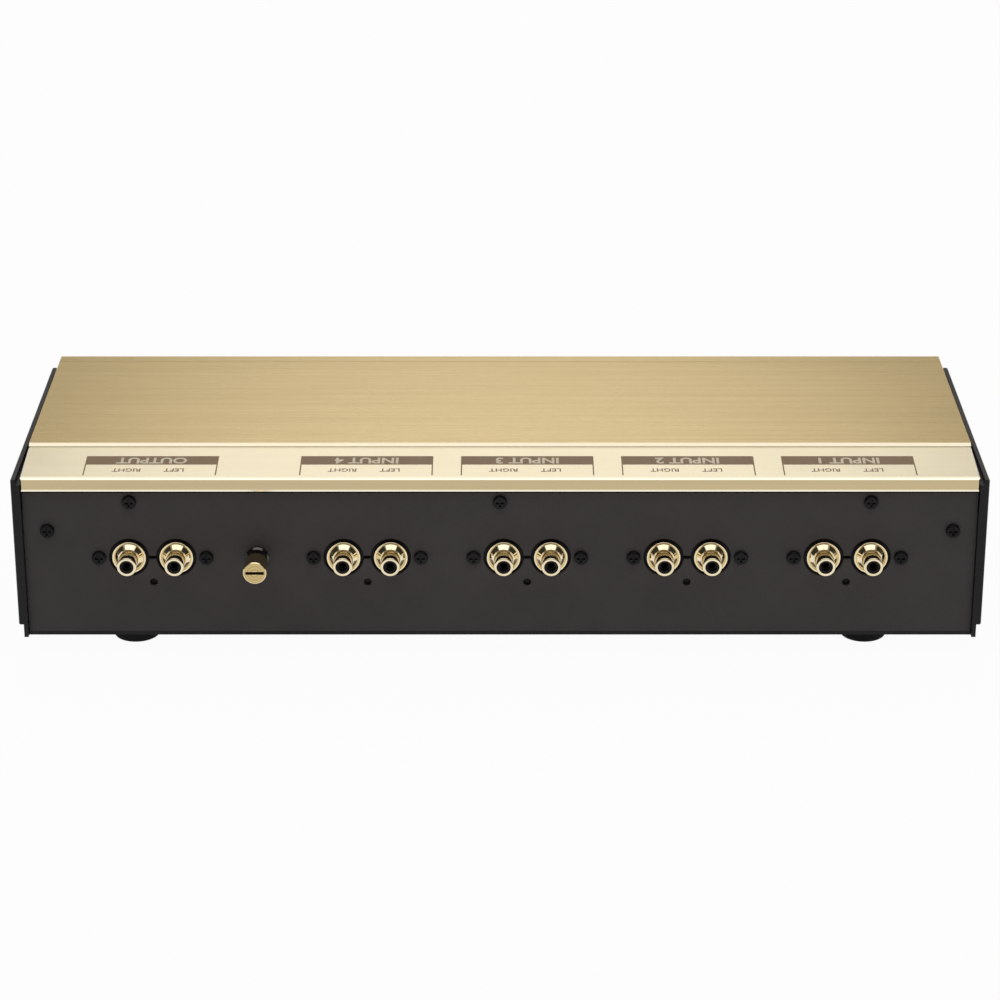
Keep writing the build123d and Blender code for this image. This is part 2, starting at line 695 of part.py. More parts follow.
# One jack on its own axis, with zero at the rear panel's face and the plug's side up
shell_end = -panel_sheet - jack_plate_sheet - jack_thread_beyond
insulator_end = shell_end - insulator_beyond
mouth_z = barrel_reach - insulator_recess
contact_front = mouth_z - insulator_lead
grip_end = contact_front - contact_grip
relief_end = grip_end - contact_relief_depth
tail_end = insulator_end - board_gap - board_sheet - tail_beyond
with BuildPart() as jack_shell:
    with BuildSketch(Plane.XZ):
        with BuildLine():
            Polyline(
                (jack_bore / 2, shell_end),
                (barrel_diameter / 2, shell_end),
                (barrel_diameter / 2, -panel_sheet),
                (flange_diameter / 2, -panel_sheet),
                (flange_diameter / 2, flange_proud),
                (flange_diameter / 2 - flange_rim, flange_proud),
                (flange_diameter / 2 - flange_rim, flange_proud - flange_groove),
                (cone_top_diameter / 2, cone_reach),
                (barrel_diameter / 2, cone_reach),
                (barrel_diameter / 2, barrel_reach),
                (jack_bore / 2, barrel_reach),
                close=True,
            )
        make_face()
    revolve(axis=Axis.Z)
    barrel_rims = jack_shell.edges().filter_by(GeomType.CIRCLE).group_by(Axis.Z)[-1]
    fillet(barrel_rims.sort_by(SortBy.RADIUS)[-1], barrel_round)
    ring_face = jack_shell.faces().filter_by(GeomType.PLANE).sort_by(lambda f: f.outer_wire().length)[-2:]
    fillet(ring_face.sort_by(Axis.Z)[-1].edges().filter_by(GeomType.CIRCLE), flange_round)

with BuildPart() as jack_insulator:
    with BuildSketch(Plane.XZ):
        with BuildLine():
            Polyline(
                (contact_diameter / 2, insulator_end),
                (jack_bore / 2, insulator_end),
                (jack_bore / 2, mouth_z),
                (insulator_mouth / 2, mouth_z),
                (insulator_mouth / 2, contact_front),
                (contact_diameter / 2, contact_front),
                close=True,
            )
        make_face()
    revolve(axis=Axis.Z)

with BuildPart() as jack_contact:
    with BuildSketch(Plane.XZ):
        with BuildLine():
            Polyline(
                (0, tail_end),
                (tail_diameter / 2, tail_end),
                (tail_diameter / 2, insulator_end),
                (contact_diameter / 2, insulator_end),
                (contact_diameter / 2, contact_front),
                (contact_bore / 2, contact_front),
                (contact_bore / 2, grip_end),
                (contact_relief / 2, grip_end),
                (contact_relief / 2, relief_end),
                (0, relief_end),
                close=True,
            )
        make_face()
    revolve(axis=Axis.Z)

# Jack plates and shells, one pair at a time
for name, pair_x in zip(pair_names, pair_xs):
    with BuildPart() as jack_plate:
        with BuildSketch(facing_rear(panel_inner_y)):
            with Locations((-pair_x, jack_z)):
                RectangleRounded(jack_plate_width, jack_plate_height, jack_plate_corner)
            with Locations(*[(-pair_x + side * jack_pitch / 2, jack_z) for side in (-1, 1)]):
                Circle(barrel_diameter / 2 + jack_fit, mode=Mode.SUBTRACT)
            with Locations(*[(-pair_x + side * plate_screw_x, jack_z) for side in (-1, 1)]):
                Circle(small_shank / 2 + screw_fit, mode=Mode.SUBTRACT)
        extrude(amount=-jack_plate_sheet)
        with BuildSketch(facing_rear(panel_inner_y)):
            with Locations((-pair_x, jack_z - locator_drop)):
                Circle(locator_diameter / 2)
        extrude(amount=panel_sheet - locator_sunk)
    jack_plate.part.label = f"jack_plate_{name}"
    export_step(jack_plate.part, f"parts/jack_plate_{name}.step")

    with BuildPart(facing_rear(panel_y)) as jack_shells:
        with Locations(*[(-pair_x + side * jack_pitch / 2, jack_z) for side in (-1, 1)]):
            add(jack_shell.part)
    jack_shells.part.label = f"jack_shells_{name}"
    export_step(jack_shells.part, f"parts/jack_shells_{name}.step")

with BuildPart(facing_rear(panel_y)) as jack_insulators:
    with Locations(*[(-x, jack_z) for x in jack_xs]):
        add(jack_insulator.part)
jack_insulators.part.label = "jack_insulators"
export_step(jack_insulators.part, "parts/jack_insulators.step")

with BuildPart(facing_rear(panel_y)) as jack_contacts:
    with Locations(*[(-x, jack_z) for x in jack_xs]):
        add(jack_contact.part)
jack_contacts.part.label = "jack_contacts"
export_step(jack_contacts.part, "parts/jack_contacts.step")

with BuildPart() as jack_nuts:
    with BuildSketch(facing_rear(plate_back_y)):
        with Locations(*[(-x, jack_z) for x in jack_xs]):
            RegularPolygon(jack_nut_across / 2, side_count=6, major_radius=False)
            Circle(barrel_diameter / 2 + jack_fit, mode=Mode.SUBTRACT)
    extrude(amount=-jack_nut_height)
jack_nuts.part.label = "jack_nuts"
export_step(jack_nuts.part, "parts/jack_nuts.step")

# Ground terminal: a base through the panel, and a slotted thumb screw with a captive washer
ground_base_length = ground_reach - ground_head_length - ground_washer_sheet
ground_shank_end = -panel_sheet - ground_nut_height - ground_shank_spare
with BuildPart() as ground_base_shape:
    with BuildSketch(Plane.XZ):
        with BuildLine():
            Polyline(
                (ground_thread / 2 + ground_fit, ground_shank_end),
                (ground_shank_diameter / 2, ground_shank_end),
                (ground_shank_diameter / 2, 0),
                (ground_base_diameter / 2, 0),
                (ground_base_diameter / 2, ground_base_sheet),
                (ground_neck_diameter / 2, ground_base_sheet),
                (ground_neck_diameter / 2, ground_base_length),
                (ground_thread / 2 + ground_fit, ground_base_length),
                close=True,
            )
        make_face()
    revolve(axis=Axis.Z)
    base_rims = ground_base_shape.edges().filter_by(GeomType.CIRCLE).sort_by(SortBy.RADIUS)[-2:]
    chamfer(base_rims.sort_by(Axis.Z)[-1], ground_base_chamfer)

with BuildPart(facing_rear(panel_y)) as ground_base:
    with Locations((-ground_x, jack_z)):
        add(ground_base_shape.part)
ground_base.part.label = "ground_base"
export_step(ground_base.part, "parts/ground_base.step")

ground_washer_y = panel_y + ground_base_length
with BuildPart() as ground_washer:
    with BuildSketch(facing_rear(ground_washer_y)):
        with Locations((-ground_x, jack_z)):
            Circle(ground_washer_diameter / 2)
            Circle(ground_thread / 2 + ground_fit, mode=Mode.SUBTRACT)
    extrude(amount=ground_washer_sheet)
ground_washer.part.label = "ground_washer"
export_step(ground_washer.part, "parts/ground_washer.step")

ground_head_y = ground_washer_y + ground_washer_sheet
with BuildPart() as ground_screw:
    with BuildSketch(facing_rear(ground_head_y)):
        with Locations((-ground_x, jack_z)):
            Circle(ground_head_diameter / 2)
    extrude(amount=ground_head_length)
    chamfer(ground_screw.faces().sort_by(Axis.Y)[-1].edges(), ground_head_chamfer)
    with BuildSketch(facing_rear(ground_head_y)):
        with Locations((-ground_x, jack_z)):
            Circle(ground_thread / 2)
    extrude(amount=-ground_washer_sheet - ground_screw_bite)
    with BuildSketch(facing_rear(ground_head_y + ground_head_length)):
        with Locations((-ground_x, jack_z)):
            Rectangle(ground_slot_length, ground_slot_width)
    extrude(amount=-ground_slot_depth, mode=Mode.SUBTRACT)
ground_screw.part.label = "ground_screw"
export_step(ground_screw.part, "parts/ground_screw.step")

with BuildPart() as ground_nut:
    with BuildSketch(facing_rear(panel_inner_y)):
        with Locations((-ground_x, jack_z)):
            RegularPolygon(ground_nut_across / 2, side_count=6, major_radius=False)
            Circle(ground_shank_diameter / 2 + ground_fit, mode=Mode.SUBTRACT)
    extrude(amount=-ground_nut_height)
ground_nut.part.label = "ground_nut"
export_step(ground_nut.part, "parts/ground_nut.step")

# Signal board: takes the jacks' tails and the switch's pins
rear_pins = []
front_pins = []
for angle in position_angles + [common_angle]:
    rear_pins.append((rear_pin_radius * cos(radians(angle)), rear_pin_radius * sin(radians(angle))))
    front_pins.append((front_pin_radius * cos(radians(angle)), front_pin_radius * sin(radians(angle))))
rod_places = [(0, -rod_pitch / 2), (0, rod_pitch / 2)]
board_width = 2 * (max(jack_xs) + board_margin)
with BuildPart() as signal_board:
    with BuildSketch(facing_front(board_back_y, knob_z)):
        Rectangle(board_width, board_height)
        with Locations(*[(x, jack_z - knob_z) for x in jack_xs]):
            Circle(tail_diameter / 2 + tail_fit, mode=Mode.SUBTRACT)
        with Locations(*rear_pins, *front_pins):
            Circle(pin_diameter / 2 + pin_fit, mode=Mode.SUBTRACT)
        with Locations(*rod_places):
            Circle(rod_diameter / 2 + screw_fit, mode=Mode.SUBTRACT)
    extrude(amount=board_sheet)
signal_board.part.label = "signal_board"
export_step(signal_board.part, "parts/signal_board.step")

# Switch stand: an angle on the tray's bottom that carries the switch
with BuildPart() as switch_stand:
    with BuildSketch(facing_front(frame_front_y)):
        with Locations((0, (floor_z + knob_z + stand_above) / 2)):
            Rectangle(stand_width, knob_z + stand_above - floor_z)
        with Locations((0, knob_z)):
            Circle(switch_bush_diameter / 2 + bush_fit, mode=Mode.SUBTRACT)
    extrude(amount=stand_sheet)
    with BuildSketch(Plane.XY.offset(floor_z)):
        with Locations((0, frame_front_y - stand_foot / 2)):
            Rectangle(stand_width, stand_foot)
        with Locations(*stand_screw_places):
            Circle(small_shank / 2 + screw_fit, mode=Mode.SUBTRACT)
    extrude(amount=stand_sheet)
switch_stand.part.label = "switch_stand"
export_step(switch_stand.part, "parts/switch_stand.step")

with BuildPart(Plane.XY.offset(floor_z + stand_sheet)) as switch_stand_screws:
    with Locations(*stand_screw_places):
        add(small_screw_head.part)
        Cylinder(small_shank / 2, stand_sheet + tray_sheet, align=(Align.CENTER, Align.CENTER, Align.MAX))
switch_stand_screws.part.label = "switch_stand_screws"
export_step(switch_stand_screws.part, "parts/switch_stand_screws.step")

# Switch frame: a plate with the bush, the spring's posts and the two stops
notch_radius = wheel_diameter / 2 + notch_outset
leaf_top = -notch_radius - spring_clear
post_low = leaf_top - spring_sheet - post_diameter / 2
spring_posts = [(-spring_span / 2, post_low), (spring_span / 2, post_low)]
stop_angle = degrees(asin((stop_lug_width + post_diameter + 2 * stop_play) / 2 / stop_radius))
stop_angles = (position_angles[0] + stop_angle, position_angles[-1] - stop_angle)
stops = [(stop_radius * cos(radians(a)), stop_radius * sin(radians(a))) for a in stop_angles]
with BuildPart() as switch_frame:
    with BuildSketch(facing_front(frame_back_y, knob_z)):
        RectangleRounded(frame_width, wafer_height, wafer_corner)
        Circle(shaft_diameter / 2 + shaft_fit, mode=Mode.SUBTRACT)
        with Locations(*rod_places):
            Circle(rod_diameter / 2 + screw_fit, mode=Mode.SUBTRACT)
    extrude(amount=frame_sheet)
    with BuildSketch(facing_front(frame_front_y, knob_z)):
        Circle(switch_bush_diameter / 2)
        Circle(shaft_diameter / 2 + shaft_fit, mode=Mode.SUBTRACT)
    extrude(amount=switch_bush_length)
    with BuildSketch(facing_front(frame_back_y, knob_z)):
        with Locations(*spring_posts, *stops):
            Circle(post_diameter / 2)
    extrude(amount=post_end_gap - switch_gap)
switch_frame.part.label = "switch_frame"
export_step(switch_frame.part, "parts/switch_frame.step")

with BuildPart() as switch_nut:
    with BuildSketch(facing_front(stand_front_y, knob_z)):
        RegularPolygon(switch_nut_across / 2, side_count=6, major_radius=False)
        Circle(switch_bush_diameter / 2 + bush_fit, mode=Mode.SUBTRACT)
    extrude(amount=switch_nut_height)
switch_nut.part.label = "switch_nut"
export_step(switch_nut.part, "parts/switch_nut.step")

# Switch shaft: round through the wheel and the bush, flat through the two rotors
wheel_y = frame_back_y + wheel_gap
coupler_rear_y = bush_end_y - knob_gap
coupler_front_y = coupler_rear_y - coupler_length
coupler_middle_y = (coupler_rear_y + coupler_front_y) / 2
blade_start_y = wheel_y + wheel_sheet
blade_end_y = rear_deck_y + wafer_sheet
with BuildPart() as switch_shaft:
    with BuildSketch(facing_front(blade_start_y, knob_z)):
        Circle(shaft_diameter / 2)
    extrude(amount=blade_start_y - coupler_middle_y - coupler_gap / 2)
    with BuildSketch(facing_front(blade_start_y, knob_z)):
        Rectangle(blade_shaft_width, blade_shaft_height, rotation=first_angle)
    extrude(amount=blade_start_y - blade_end_y)
switch_shaft.part.label = "switch_shaft"
export_step(switch_shaft.part, "parts/switch_shaft.step")

# Detent wheel: notched all round, with a lug that turns between the two stops
with BuildPart() as detent_wheel:
    with BuildSketch(facing_front(wheel_y + wheel_sheet, knob_z)):
        Circle(wheel_diameter / 2)
        with PolarLocations(notch_radius, wheel_notches):
            Circle(notch_diameter / 2, mode=Mode.SUBTRACT)
        lug_middle = (stop_lug_root + stop_lug_reach) / 2
        with Locations((lug_middle * cos(radians(first_angle)), lug_middle * sin(radians(first_angle)))):
            Rectangle(stop_lug_reach - stop_lug_root, stop_lug_width, rotation=first_angle)
        Circle(shaft_diameter / 2, mode=Mode.SUBTRACT)
    extrude(amount=wheel_sheet)
detent_wheel.part.label = "detent_wheel"
export_step(detent_wheel.part, "parts/detent_wheel.step")

# Detent spring: a leaf across the two posts with a bump in the wheel's lowest notch
with BuildPart() as detent_spring:
    with BuildSketch(facing_front(wheel_y + (wheel_sheet + spring_width) / 2, knob_z)):
        with Locations((0, leaf_top - spring_sheet / 2)):
            Rectangle(spring_span + 2 * spring_overhang, spring_sheet)
        with Locations((0, -notch_radius)):
            Circle(notch_diameter / 2 - detent_play)
        with Locations((0, leaf_top - spring_sheet)):
            Rectangle(notch_diameter, notch_diameter, align=(Align.CENTER, Align.MAX), mode=Mode.SUBTRACT)
    extrude(amount=spring_width)
detent_spring.part.label = "detent_spring"
export_step(detent_spring.part, "parts/detent_spring.step")

# Wafers, rotors and their contacts; the front deck switches the left channel, the rear deck the right
rivet_places = []
for angle in position_angles + [common_angle]:
    rivet_places.append((rivet_radius * cos(radians(angle)), rivet_radius * sin(radians(angle))))
for name, deck_y in (("front", front_deck_y), ("rear", rear_deck_y)):
    with BuildPart() as wafer:
        with BuildSketch(facing_front(deck_y, knob_z)):
            RectangleRounded(wafer_width, wafer_height, wafer_corner)
            Circle(wafer_hole / 2, mode=Mode.SUBTRACT)
            with Locations(*rod_places):
                Circle(rod_diameter / 2 + screw_fit, mode=Mode.SUBTRACT)
            with Locations(*rivet_places):
                Circle(rivet_diameter / 2, mode=Mode.SUBTRACT)
            if name == "rear":
                with Locations(*front_pins):
                    Circle(pin_diameter / 2 + pin_clear, mode=Mode.SUBTRACT)
        extrude(amount=wafer_sheet)
    wafer.part.label = f"wafer_{name}"
    export_step(wafer.part, f"parts/wafer_{name}.step")

    with BuildPart() as rotor:
        with BuildSketch(facing_front(deck_y, knob_z)):
            Circle(rotor_diameter / 2)
            Rectangle(
                blade_shaft_width + 2 * blade_fit,
                blade_shaft_height + 2 * blade_fit,
                rotation=first_angle,
                mode=Mode.SUBTRACT,
            )
        extrude(amount=wafer_sheet)
    rotor.part.label = f"rotor_{name}"
    export_step(rotor.part, f"parts/rotor_{name}.step")

tongue_middle = (tongue_reach + ring_inner) / 2
tongue_place = (tongue_middle * cos(radians(first_angle)), tongue_middle * sin(radians(first_angle)))
with BuildPart() as rotor_blades:
    for deck_y in (front_deck_y, rear_deck_y):
        with BuildSketch(facing_front(deck_y, knob_z)):
            Circle(ring_outer)
            with Locations(tongue_place):
                Rectangle(tongue_reach - ring_inner, tongue_width, rotation=first_angle)
            Circle(ring_inner, mode=Mode.SUBTRACT)
        extrude(amount=-ring_sheet)
rotor_blades.part.label = "rotor_blades"
export_step(rotor_blades.part, "parts/rotor_blades.step")

with BuildPart() as wafer_contacts:
    for deck_y, pin_radius in ((front_deck_y, front_pin_radius), (rear_deck_y, rear_pin_radius)):
        for angle in position_angles + [common_angle]:
            reach = pin_radius + clip_width / 2
            inner = common_inner if angle == common_angle else clip_inner
            middle = (reach + inner) / 2
            along = (cos(radians(angle)), sin(radians(angle)))
            with BuildSketch(facing_front(deck_y + clip_lift, knob_z)):
                with Locations((middle * along[0], middle * along[1])):
                    Rectangle(reach - inner, clip_width, rotation=angle)
            extrude(amount=-clip_sheet)
            with BuildSketch(facing_front(deck_y + clip_lift, knob_z)):
                with Locations((rivet_radius * along[0], rivet_radius * along[1])):
                    Circle(rivet_diameter / 2)
            extrude(amount=clip_lift + wafer_sheet)
            with BuildSketch(facing_front(deck_y + clip_lift, knob_z)):
                with Locations((pin_radius * along[0], pin_radius * along[1])):
                    Circle(pin_diameter / 2)
            extrude(amount=deck_y + clip_lift - board_back_y - pin_beyond)
wafer_contacts.part.label = "wafer_contacts"
export_step(wafer_contacts.part, "parts/wafer_contacts.step")

with BuildPart() as switch_spacers:
    for spacer_end_y in (board_front_y, rear_deck_y - wafer_sheet, front_deck_y - wafer_sheet):
        with BuildSketch(facing_front(spacer_end_y, knob_z)):
            with Locations(*rod_places):
                Circle(spacer_diameter / 2)
                Circle(rod_diameter / 2 + screw_fit, mode=Mode.SUBTRACT)
        extrude(amount=switch_gap)
switch_spacers.part.label = "switch_spacers"
export_step(switch_spacers.part, "parts/switch_spacers.step")

with BuildPart() as tie_rods:
    with BuildSketch(facing_front(board_back_y + rod_nut_height, knob_z)):
        with Locations(*rod_places):
            Circle(rod_diameter / 2)
    extrude(amount=board_back_y + rod_nut_height - frame_front_y)
tie_rods.part.label = "tie_rods"
export_step(tie_rods.part, "parts/tie_rods.step")

with BuildPart() as tie_rod_nuts:
    with BuildSketch(facing_rear(board_back_y, knob_z)):
        with Locations(*rod_places):
            RegularPolygon(rod_nut_across / 2, side_count=6, major_radius=False)
            Circle(rod_diameter / 2 + screw_fit, mode=Mode.SUBTRACT)
    extrude(amount=rod_nut_height)
tie_rod_nuts.part.label = "tie_rod_nuts"
export_step(tie_rod_nuts.part, "parts/tie_rod_nuts.step")

# Front bush: pressed into the sub-panel from behind
with BuildPart() as front_bush:
    with BuildSketch(facing_front(subpanel_back_y + bush_flange_sheet, knob_z)):
        Circle(bush_flange / 2)
        Circle(shaft_diameter / 2 + shaft_fit, mode=Mode.SUBTRACT)
    extrude(amount=bush_flange_sheet)
    with BuildSketch(facing_front(subpanel_back_y, knob_z)):
        Circle(bush_diameter / 2)
        Circle(shaft_diameter / 2 + shaft_fit, mode=Mode.SUBTRACT)
    extrude(amount=subpanel_back_y - bush_front_y)
front_bush.part.label = "front_bush"
export_step(front_bush.part, "parts/front_bush.step")

# Extension shaft from the coupler to the knob
knob_back_y = front_y - knob_gap
with BuildPart() as extension_shaft:
    with BuildSketch(facing_front(coupler_middle_y - coupler_gap / 2, knob_z)):
        Circle(shaft_diameter / 2)
    extrude(amount=coupler_middle_y - coupler_gap / 2 - knob_back_y + knob_bore_depth)
extension_shaft.part.label = "extension_shaft"
export_step(extension_shaft.part, "parts/extension_shaft.step")

grub_ys = (coupler_front_y + grub_inset, coupler_rear_y - grub_inset)
with BuildPart() as shaft_coupler:
    with BuildSketch(facing_front(coupler_rear_y, knob_z)):
        Circle(coupler_diameter / 2)
        Circle(shaft_diameter / 2, mode=Mode.SUBTRACT)
    extrude(amount=coupler_length)
    for grub_y in grub_ys:
        with BuildSketch(Plane(origin=(0, grub_y, knob_z), x_dir=(1, 0, 0), z_dir=(0, 0, 1))):
            Circle(grub_diameter / 2 + screw_fit)
        extrude(amount=coupler_diameter, mode=Mode.SUBTRACT)
shaft_coupler.part.label = "shaft_coupler"
export_step(shaft_coupler.part, "parts/shaft_coupler.step")

# Knob: a skirt, a fluted grip and a dished face with a pointer let into it
knob_radius = knob_diameter / 2
grip_radius = knob_radius - knob_grip_inset
pointer_outer = grip_radius - knob_chamfer
pointer_middle = (pointer_inner + pointer_outer) / 2
pointer_place = (pointer_middle * cos(radians(first_angle)), pointer_middle * sin(radians(first_angle)))
knob_face_y = knob_back_y - knob_length
knob_grub_y = knob_back_y - knob_grub_rise
with BuildPart() as knob:
    with BuildSketch(facing_front(knob_back_y, knob_z)):
        Circle(knob_radius)
    extrude(amount=knob_skirt)
    fillet(knob.faces().sort_by(Axis.Y)[0].edges(), knob_grip_inset)
    with BuildSketch(facing_front(knob_back_y - knob_skirt, knob_z)):
        Circle(grip_radius)
        with PolarLocations(grip_radius, knob_flutes):
            Circle(knob_flute_diameter / 2, mode=Mode.SUBTRACT)
    extrude(amount=knob_length - knob_skirt - knob_cap)
    with BuildSketch(facing_front(knob_back_y - knob_length + knob_cap, knob_z)):
        Circle(grip_radius)
    extrude(amount=knob_cap)
    chamfer(knob.faces().sort_by(Axis.Y)[0].edges(), knob_chamfer)
    with BuildSketch(facing_front(knob_face_y, knob_z)):
        Circle(knob_dish_diameter / 2)
    extrude(amount=-knob_dish_depth, mode=Mode.SUBTRACT)
    with BuildSketch(facing_front(knob_face_y, knob_z)):
        with Locations(pointer_place):
            Rectangle(pointer_outer - pointer_inner, pointer_width, rotation=first_angle)
    extrude(amount=-pointer_depth, mode=Mode.SUBTRACT)
    with BuildSketch(facing_front(knob_back_y, knob_z)):
        Circle(shaft_diameter / 2)
    extrude(amount=knob_bore_depth, mode=Mode.SUBTRACT)
    with BuildSketch(Plane(origin=(0, knob_grub_y, knob_z), x_dir=(1, 0, 0), z_dir=(0, 0, -1))):
        Circle(grub_diameter / 2 + screw_fit)
    extrude(amount=knob_diameter, mode=Mode.SUBTRACT)
knob.part.label = "knob"
export_step(knob.part, "parts/knob.step")

with BuildPart() as knob_pointer:
    with BuildSketch(facing_front(knob_face_y, knob_z)):
        with Locations(pointer_place):
            Rectangle(pointer_outer - pointer_inner, pointer_width, rotation=first_angle)
    extrude(amount=-pointer_depth)
knob_pointer.part.label = "knob_pointer"
export_step(knob_pointer.part, "parts/knob_pointer.step")

# Grub screws: two in the coupler from above, one in the knob from below
grub_planes = [Plane(origin=(0, y, knob_z), x_dir=(1, 0, 0), z_dir=(0, 0, 1)) for y in grub_ys]
grub_planes.append(Plane(origin=(0, knob_grub_y, knob_z), x_dir=(1, 0, 0), z_dir=(0, 0, -1)))
with BuildPart() as grub_screws:
    for grub_plane in grub_planes:
        with BuildSketch(grub_plane.offset(shaft_diameter / 2)):
            Circle(grub_diameter / 2)
        extrude(amount=grub_length)
        with BuildSketch(grub_plane.offset(shaft_diameter / 2 + grub_length)):
            RegularPolygon(grub_socket / 2, side_count=6, major_radius=False)
        extrude(amount=-grub_socket_depth, mode=Mode.SUBTRACT)
grub_screws.part.label = "grub_screws"
export_step(grub_screws.part, "parts/grub_screws.step")
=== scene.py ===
# %% [markdown]
# # An audio source selector, seen from behind
# The real object is a low, wide hi-fi casing: a brushed champagne-gold top, a paler label strip along
# the rear edge, a charcoal rear panel with five pairs of gold phono jacks, and black side skins. The
# solid shapes come from the CAD model, so this lesson gives them their finishes and adds what is only
# printed, painted or stuck on them. Everything is in metres, and each piece is already in its place.

# %% Load the frame
import json
import math

import bmesh
import bpy
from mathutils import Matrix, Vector


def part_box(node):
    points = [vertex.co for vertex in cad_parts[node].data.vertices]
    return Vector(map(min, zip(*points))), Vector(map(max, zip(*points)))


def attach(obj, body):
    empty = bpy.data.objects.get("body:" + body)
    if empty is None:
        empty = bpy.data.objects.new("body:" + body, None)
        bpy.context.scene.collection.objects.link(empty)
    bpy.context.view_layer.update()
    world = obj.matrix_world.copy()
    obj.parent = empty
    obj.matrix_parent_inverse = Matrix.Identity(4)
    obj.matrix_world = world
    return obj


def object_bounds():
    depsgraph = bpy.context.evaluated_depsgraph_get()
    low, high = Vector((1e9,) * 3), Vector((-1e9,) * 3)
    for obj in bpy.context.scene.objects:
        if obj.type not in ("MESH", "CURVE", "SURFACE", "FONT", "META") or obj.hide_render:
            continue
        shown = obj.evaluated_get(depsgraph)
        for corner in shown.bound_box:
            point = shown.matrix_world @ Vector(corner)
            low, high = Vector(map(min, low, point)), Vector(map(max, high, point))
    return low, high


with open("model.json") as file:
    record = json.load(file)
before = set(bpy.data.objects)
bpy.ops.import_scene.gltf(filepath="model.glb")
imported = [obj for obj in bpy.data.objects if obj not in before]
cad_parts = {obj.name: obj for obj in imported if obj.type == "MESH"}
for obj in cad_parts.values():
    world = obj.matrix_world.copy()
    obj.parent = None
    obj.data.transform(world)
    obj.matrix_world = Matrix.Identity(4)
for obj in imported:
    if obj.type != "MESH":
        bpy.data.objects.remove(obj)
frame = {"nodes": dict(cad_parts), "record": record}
cad_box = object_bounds()
cad_size = cad_box[1] - cad_box[0]
print("nodes:", len(frame["nodes"]), "CAD size in mm:", [round(1000 * side, 1) for side in cad_size])

# %% [markdown]
# ## The camera
# The photograph looks down on the rear from a little over a metre away with a long lens. Only the angle
# and the distance change the perspective, so they are set first, and the lens then follows from how many
# pixels a metre of the rear panel takes up in a frame of 1000 by 1000.

# %% Set the camera
rear_panel_low, rear_panel_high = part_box("rear_panel")
aim_height = 0.0713
camera_elevation = math.radians(22.5)
camera_distance = 1.33
pixels_per_metre, frame_pixels = 2380.0, 1000.0
camera_target = Vector((0.0, rear_panel_high.y, aim_height))
camera_way = Vector((0.0, math.cos(camera_elevation), math.sin(camera_elevation)))
bpy.ops.object.camera_add(
    location=camera_target + camera_distance * camera_way,
    rotation=(math.radians(90) - camera_elevation, 0.0, math.pi),
)
camera = bpy.context.object
camera.name = "rear_camera"
camera.data.sensor_width = 36.0
camera.data.lens = camera.data.sensor_width * pixels_per_metre * camera_distance / frame_pixels
camera.data.clip_end = 20.0
bpy.context.scene.camera = camera
bpy.context.scene.view_settings.view_transform = "Standard"
print("lens in mm:", round(camera.data.lens, 1))

# %% [markdown]
# ## The studio floor
# The photograph's ground is pure white with hardly any shadow. A diffuse floor alone would come out grey,
# and more lamp light would burn out the gold. So what the camera and the metal see of the floor is mostly
# plain white, and the rest is the lit floor, which keeps a soft shadow under the casing. A few helpers
# come first, because the floor, the room and every finish are made of shader nodes.

# %% Make the floor
floor_size = 12.0
bpy.ops.object.select_all(action="DESELECT")
bpy.ops.mesh.primitive_plane_add(size=floor_size, location=(0.0, 0.0, 0.0))
studio_floor = bpy.context.object
studio_floor.name = "studio_floor"
print("floor:", tuple(studio_floor.dimensions))

# %% Place nodes and fill their sockets
def feed(tree, socket, value):
    """Link an output to this socket, or set a plain value on it."""
    if isinstance(value, bpy.types.NodeSocket):
        tree.links.new(value, socket)
    else:
        socket.default_value = value


def fill(tree, node, **sockets):
    """Feed a node's sockets by name, with an underscore for each space."""
    for label, value in sockets.items():
        feed(tree, node.inputs[label.replace("_", " ")], value)
    return node


def put(tree, kind, **sockets):
    """Add a node and fill its sockets."""
    return fill(tree, tree.nodes.new(kind), **sockets)


def calc(tree, operation, *values):
    """The result of a sum, a product or the like of outputs and plain values."""
    made = put(tree, "ShaderNodeMath")
    made.operation = operation
    for socket, value in zip(made.inputs, values):
        feed(tree, socket, value)
    return made.outputs[0]


print("helpers:", feed.__name__, fill.__name__, put.__name__, calc.__name__)

# %% Paint the floor
floor_grey = (0.82, 0.82, 0.82, 1.0)
floor_paint = bpy.data.materials.new("studio_white")
floor_paint.use_nodes = True
floor_tree = floor_paint.node_tree
floor_shader = floor_tree.nodes["Principled BSDF"]
fill(floor_tree, floor_shader, Base_Color=floor_grey, Roughness=0.9, Specular_IOR_Level=0.0)
studio_floor.data.materials.append(floor_paint)
print("floor paint:", floor_paint.name)

# %% Show the floor as white to the camera and to metal
white_share = 0.96
ray_kind = put(floor_tree, "ShaderNodeLightPath").outputs
seen_or_mirrored = calc(floor_tree, "MAXIMUM", ray_kind["Is Camera Ray"], ray_kind["Is Glossy Ray"])
seen = calc(floor_tree, "MAXIMUM", seen_or_mirrored, ray_kind["Is Transmission Ray"])
floor_glow = put(floor_tree, "ShaderNodeEmission")
floor_mix = put(floor_tree, "ShaderNodeMixShader", Fac=calc(floor_tree, "MULTIPLY", seen, white_share))
floor_tree.links.new(floor_shader.outputs["BSDF"], floor_mix.inputs[1])
floor_tree.links.new(floor_glow.outputs["Emission"], floor_mix.inputs[2])
fill(floor_tree, floor_tree.nodes["Material Output"], Surface=floor_mix.outputs["Shader"])
print("white share of the floor:", white_share)

# %% [markdown]
# ## Soft light
# Product photographers light metal with large white surfaces, because metal shows what surrounds it. The
# room here is a warm white. It is bright behind the casing and overhead, dim to the sides, almost dark on
# either side of the camera and brighter again straight behind it, so that the jacks get dark flanks between
# bright rims. Two softboxes do the rest: a round one behind, which brightens the top and the label strip,
# and a rectangular one above the camera, which puts a white patch on the top of each jack.

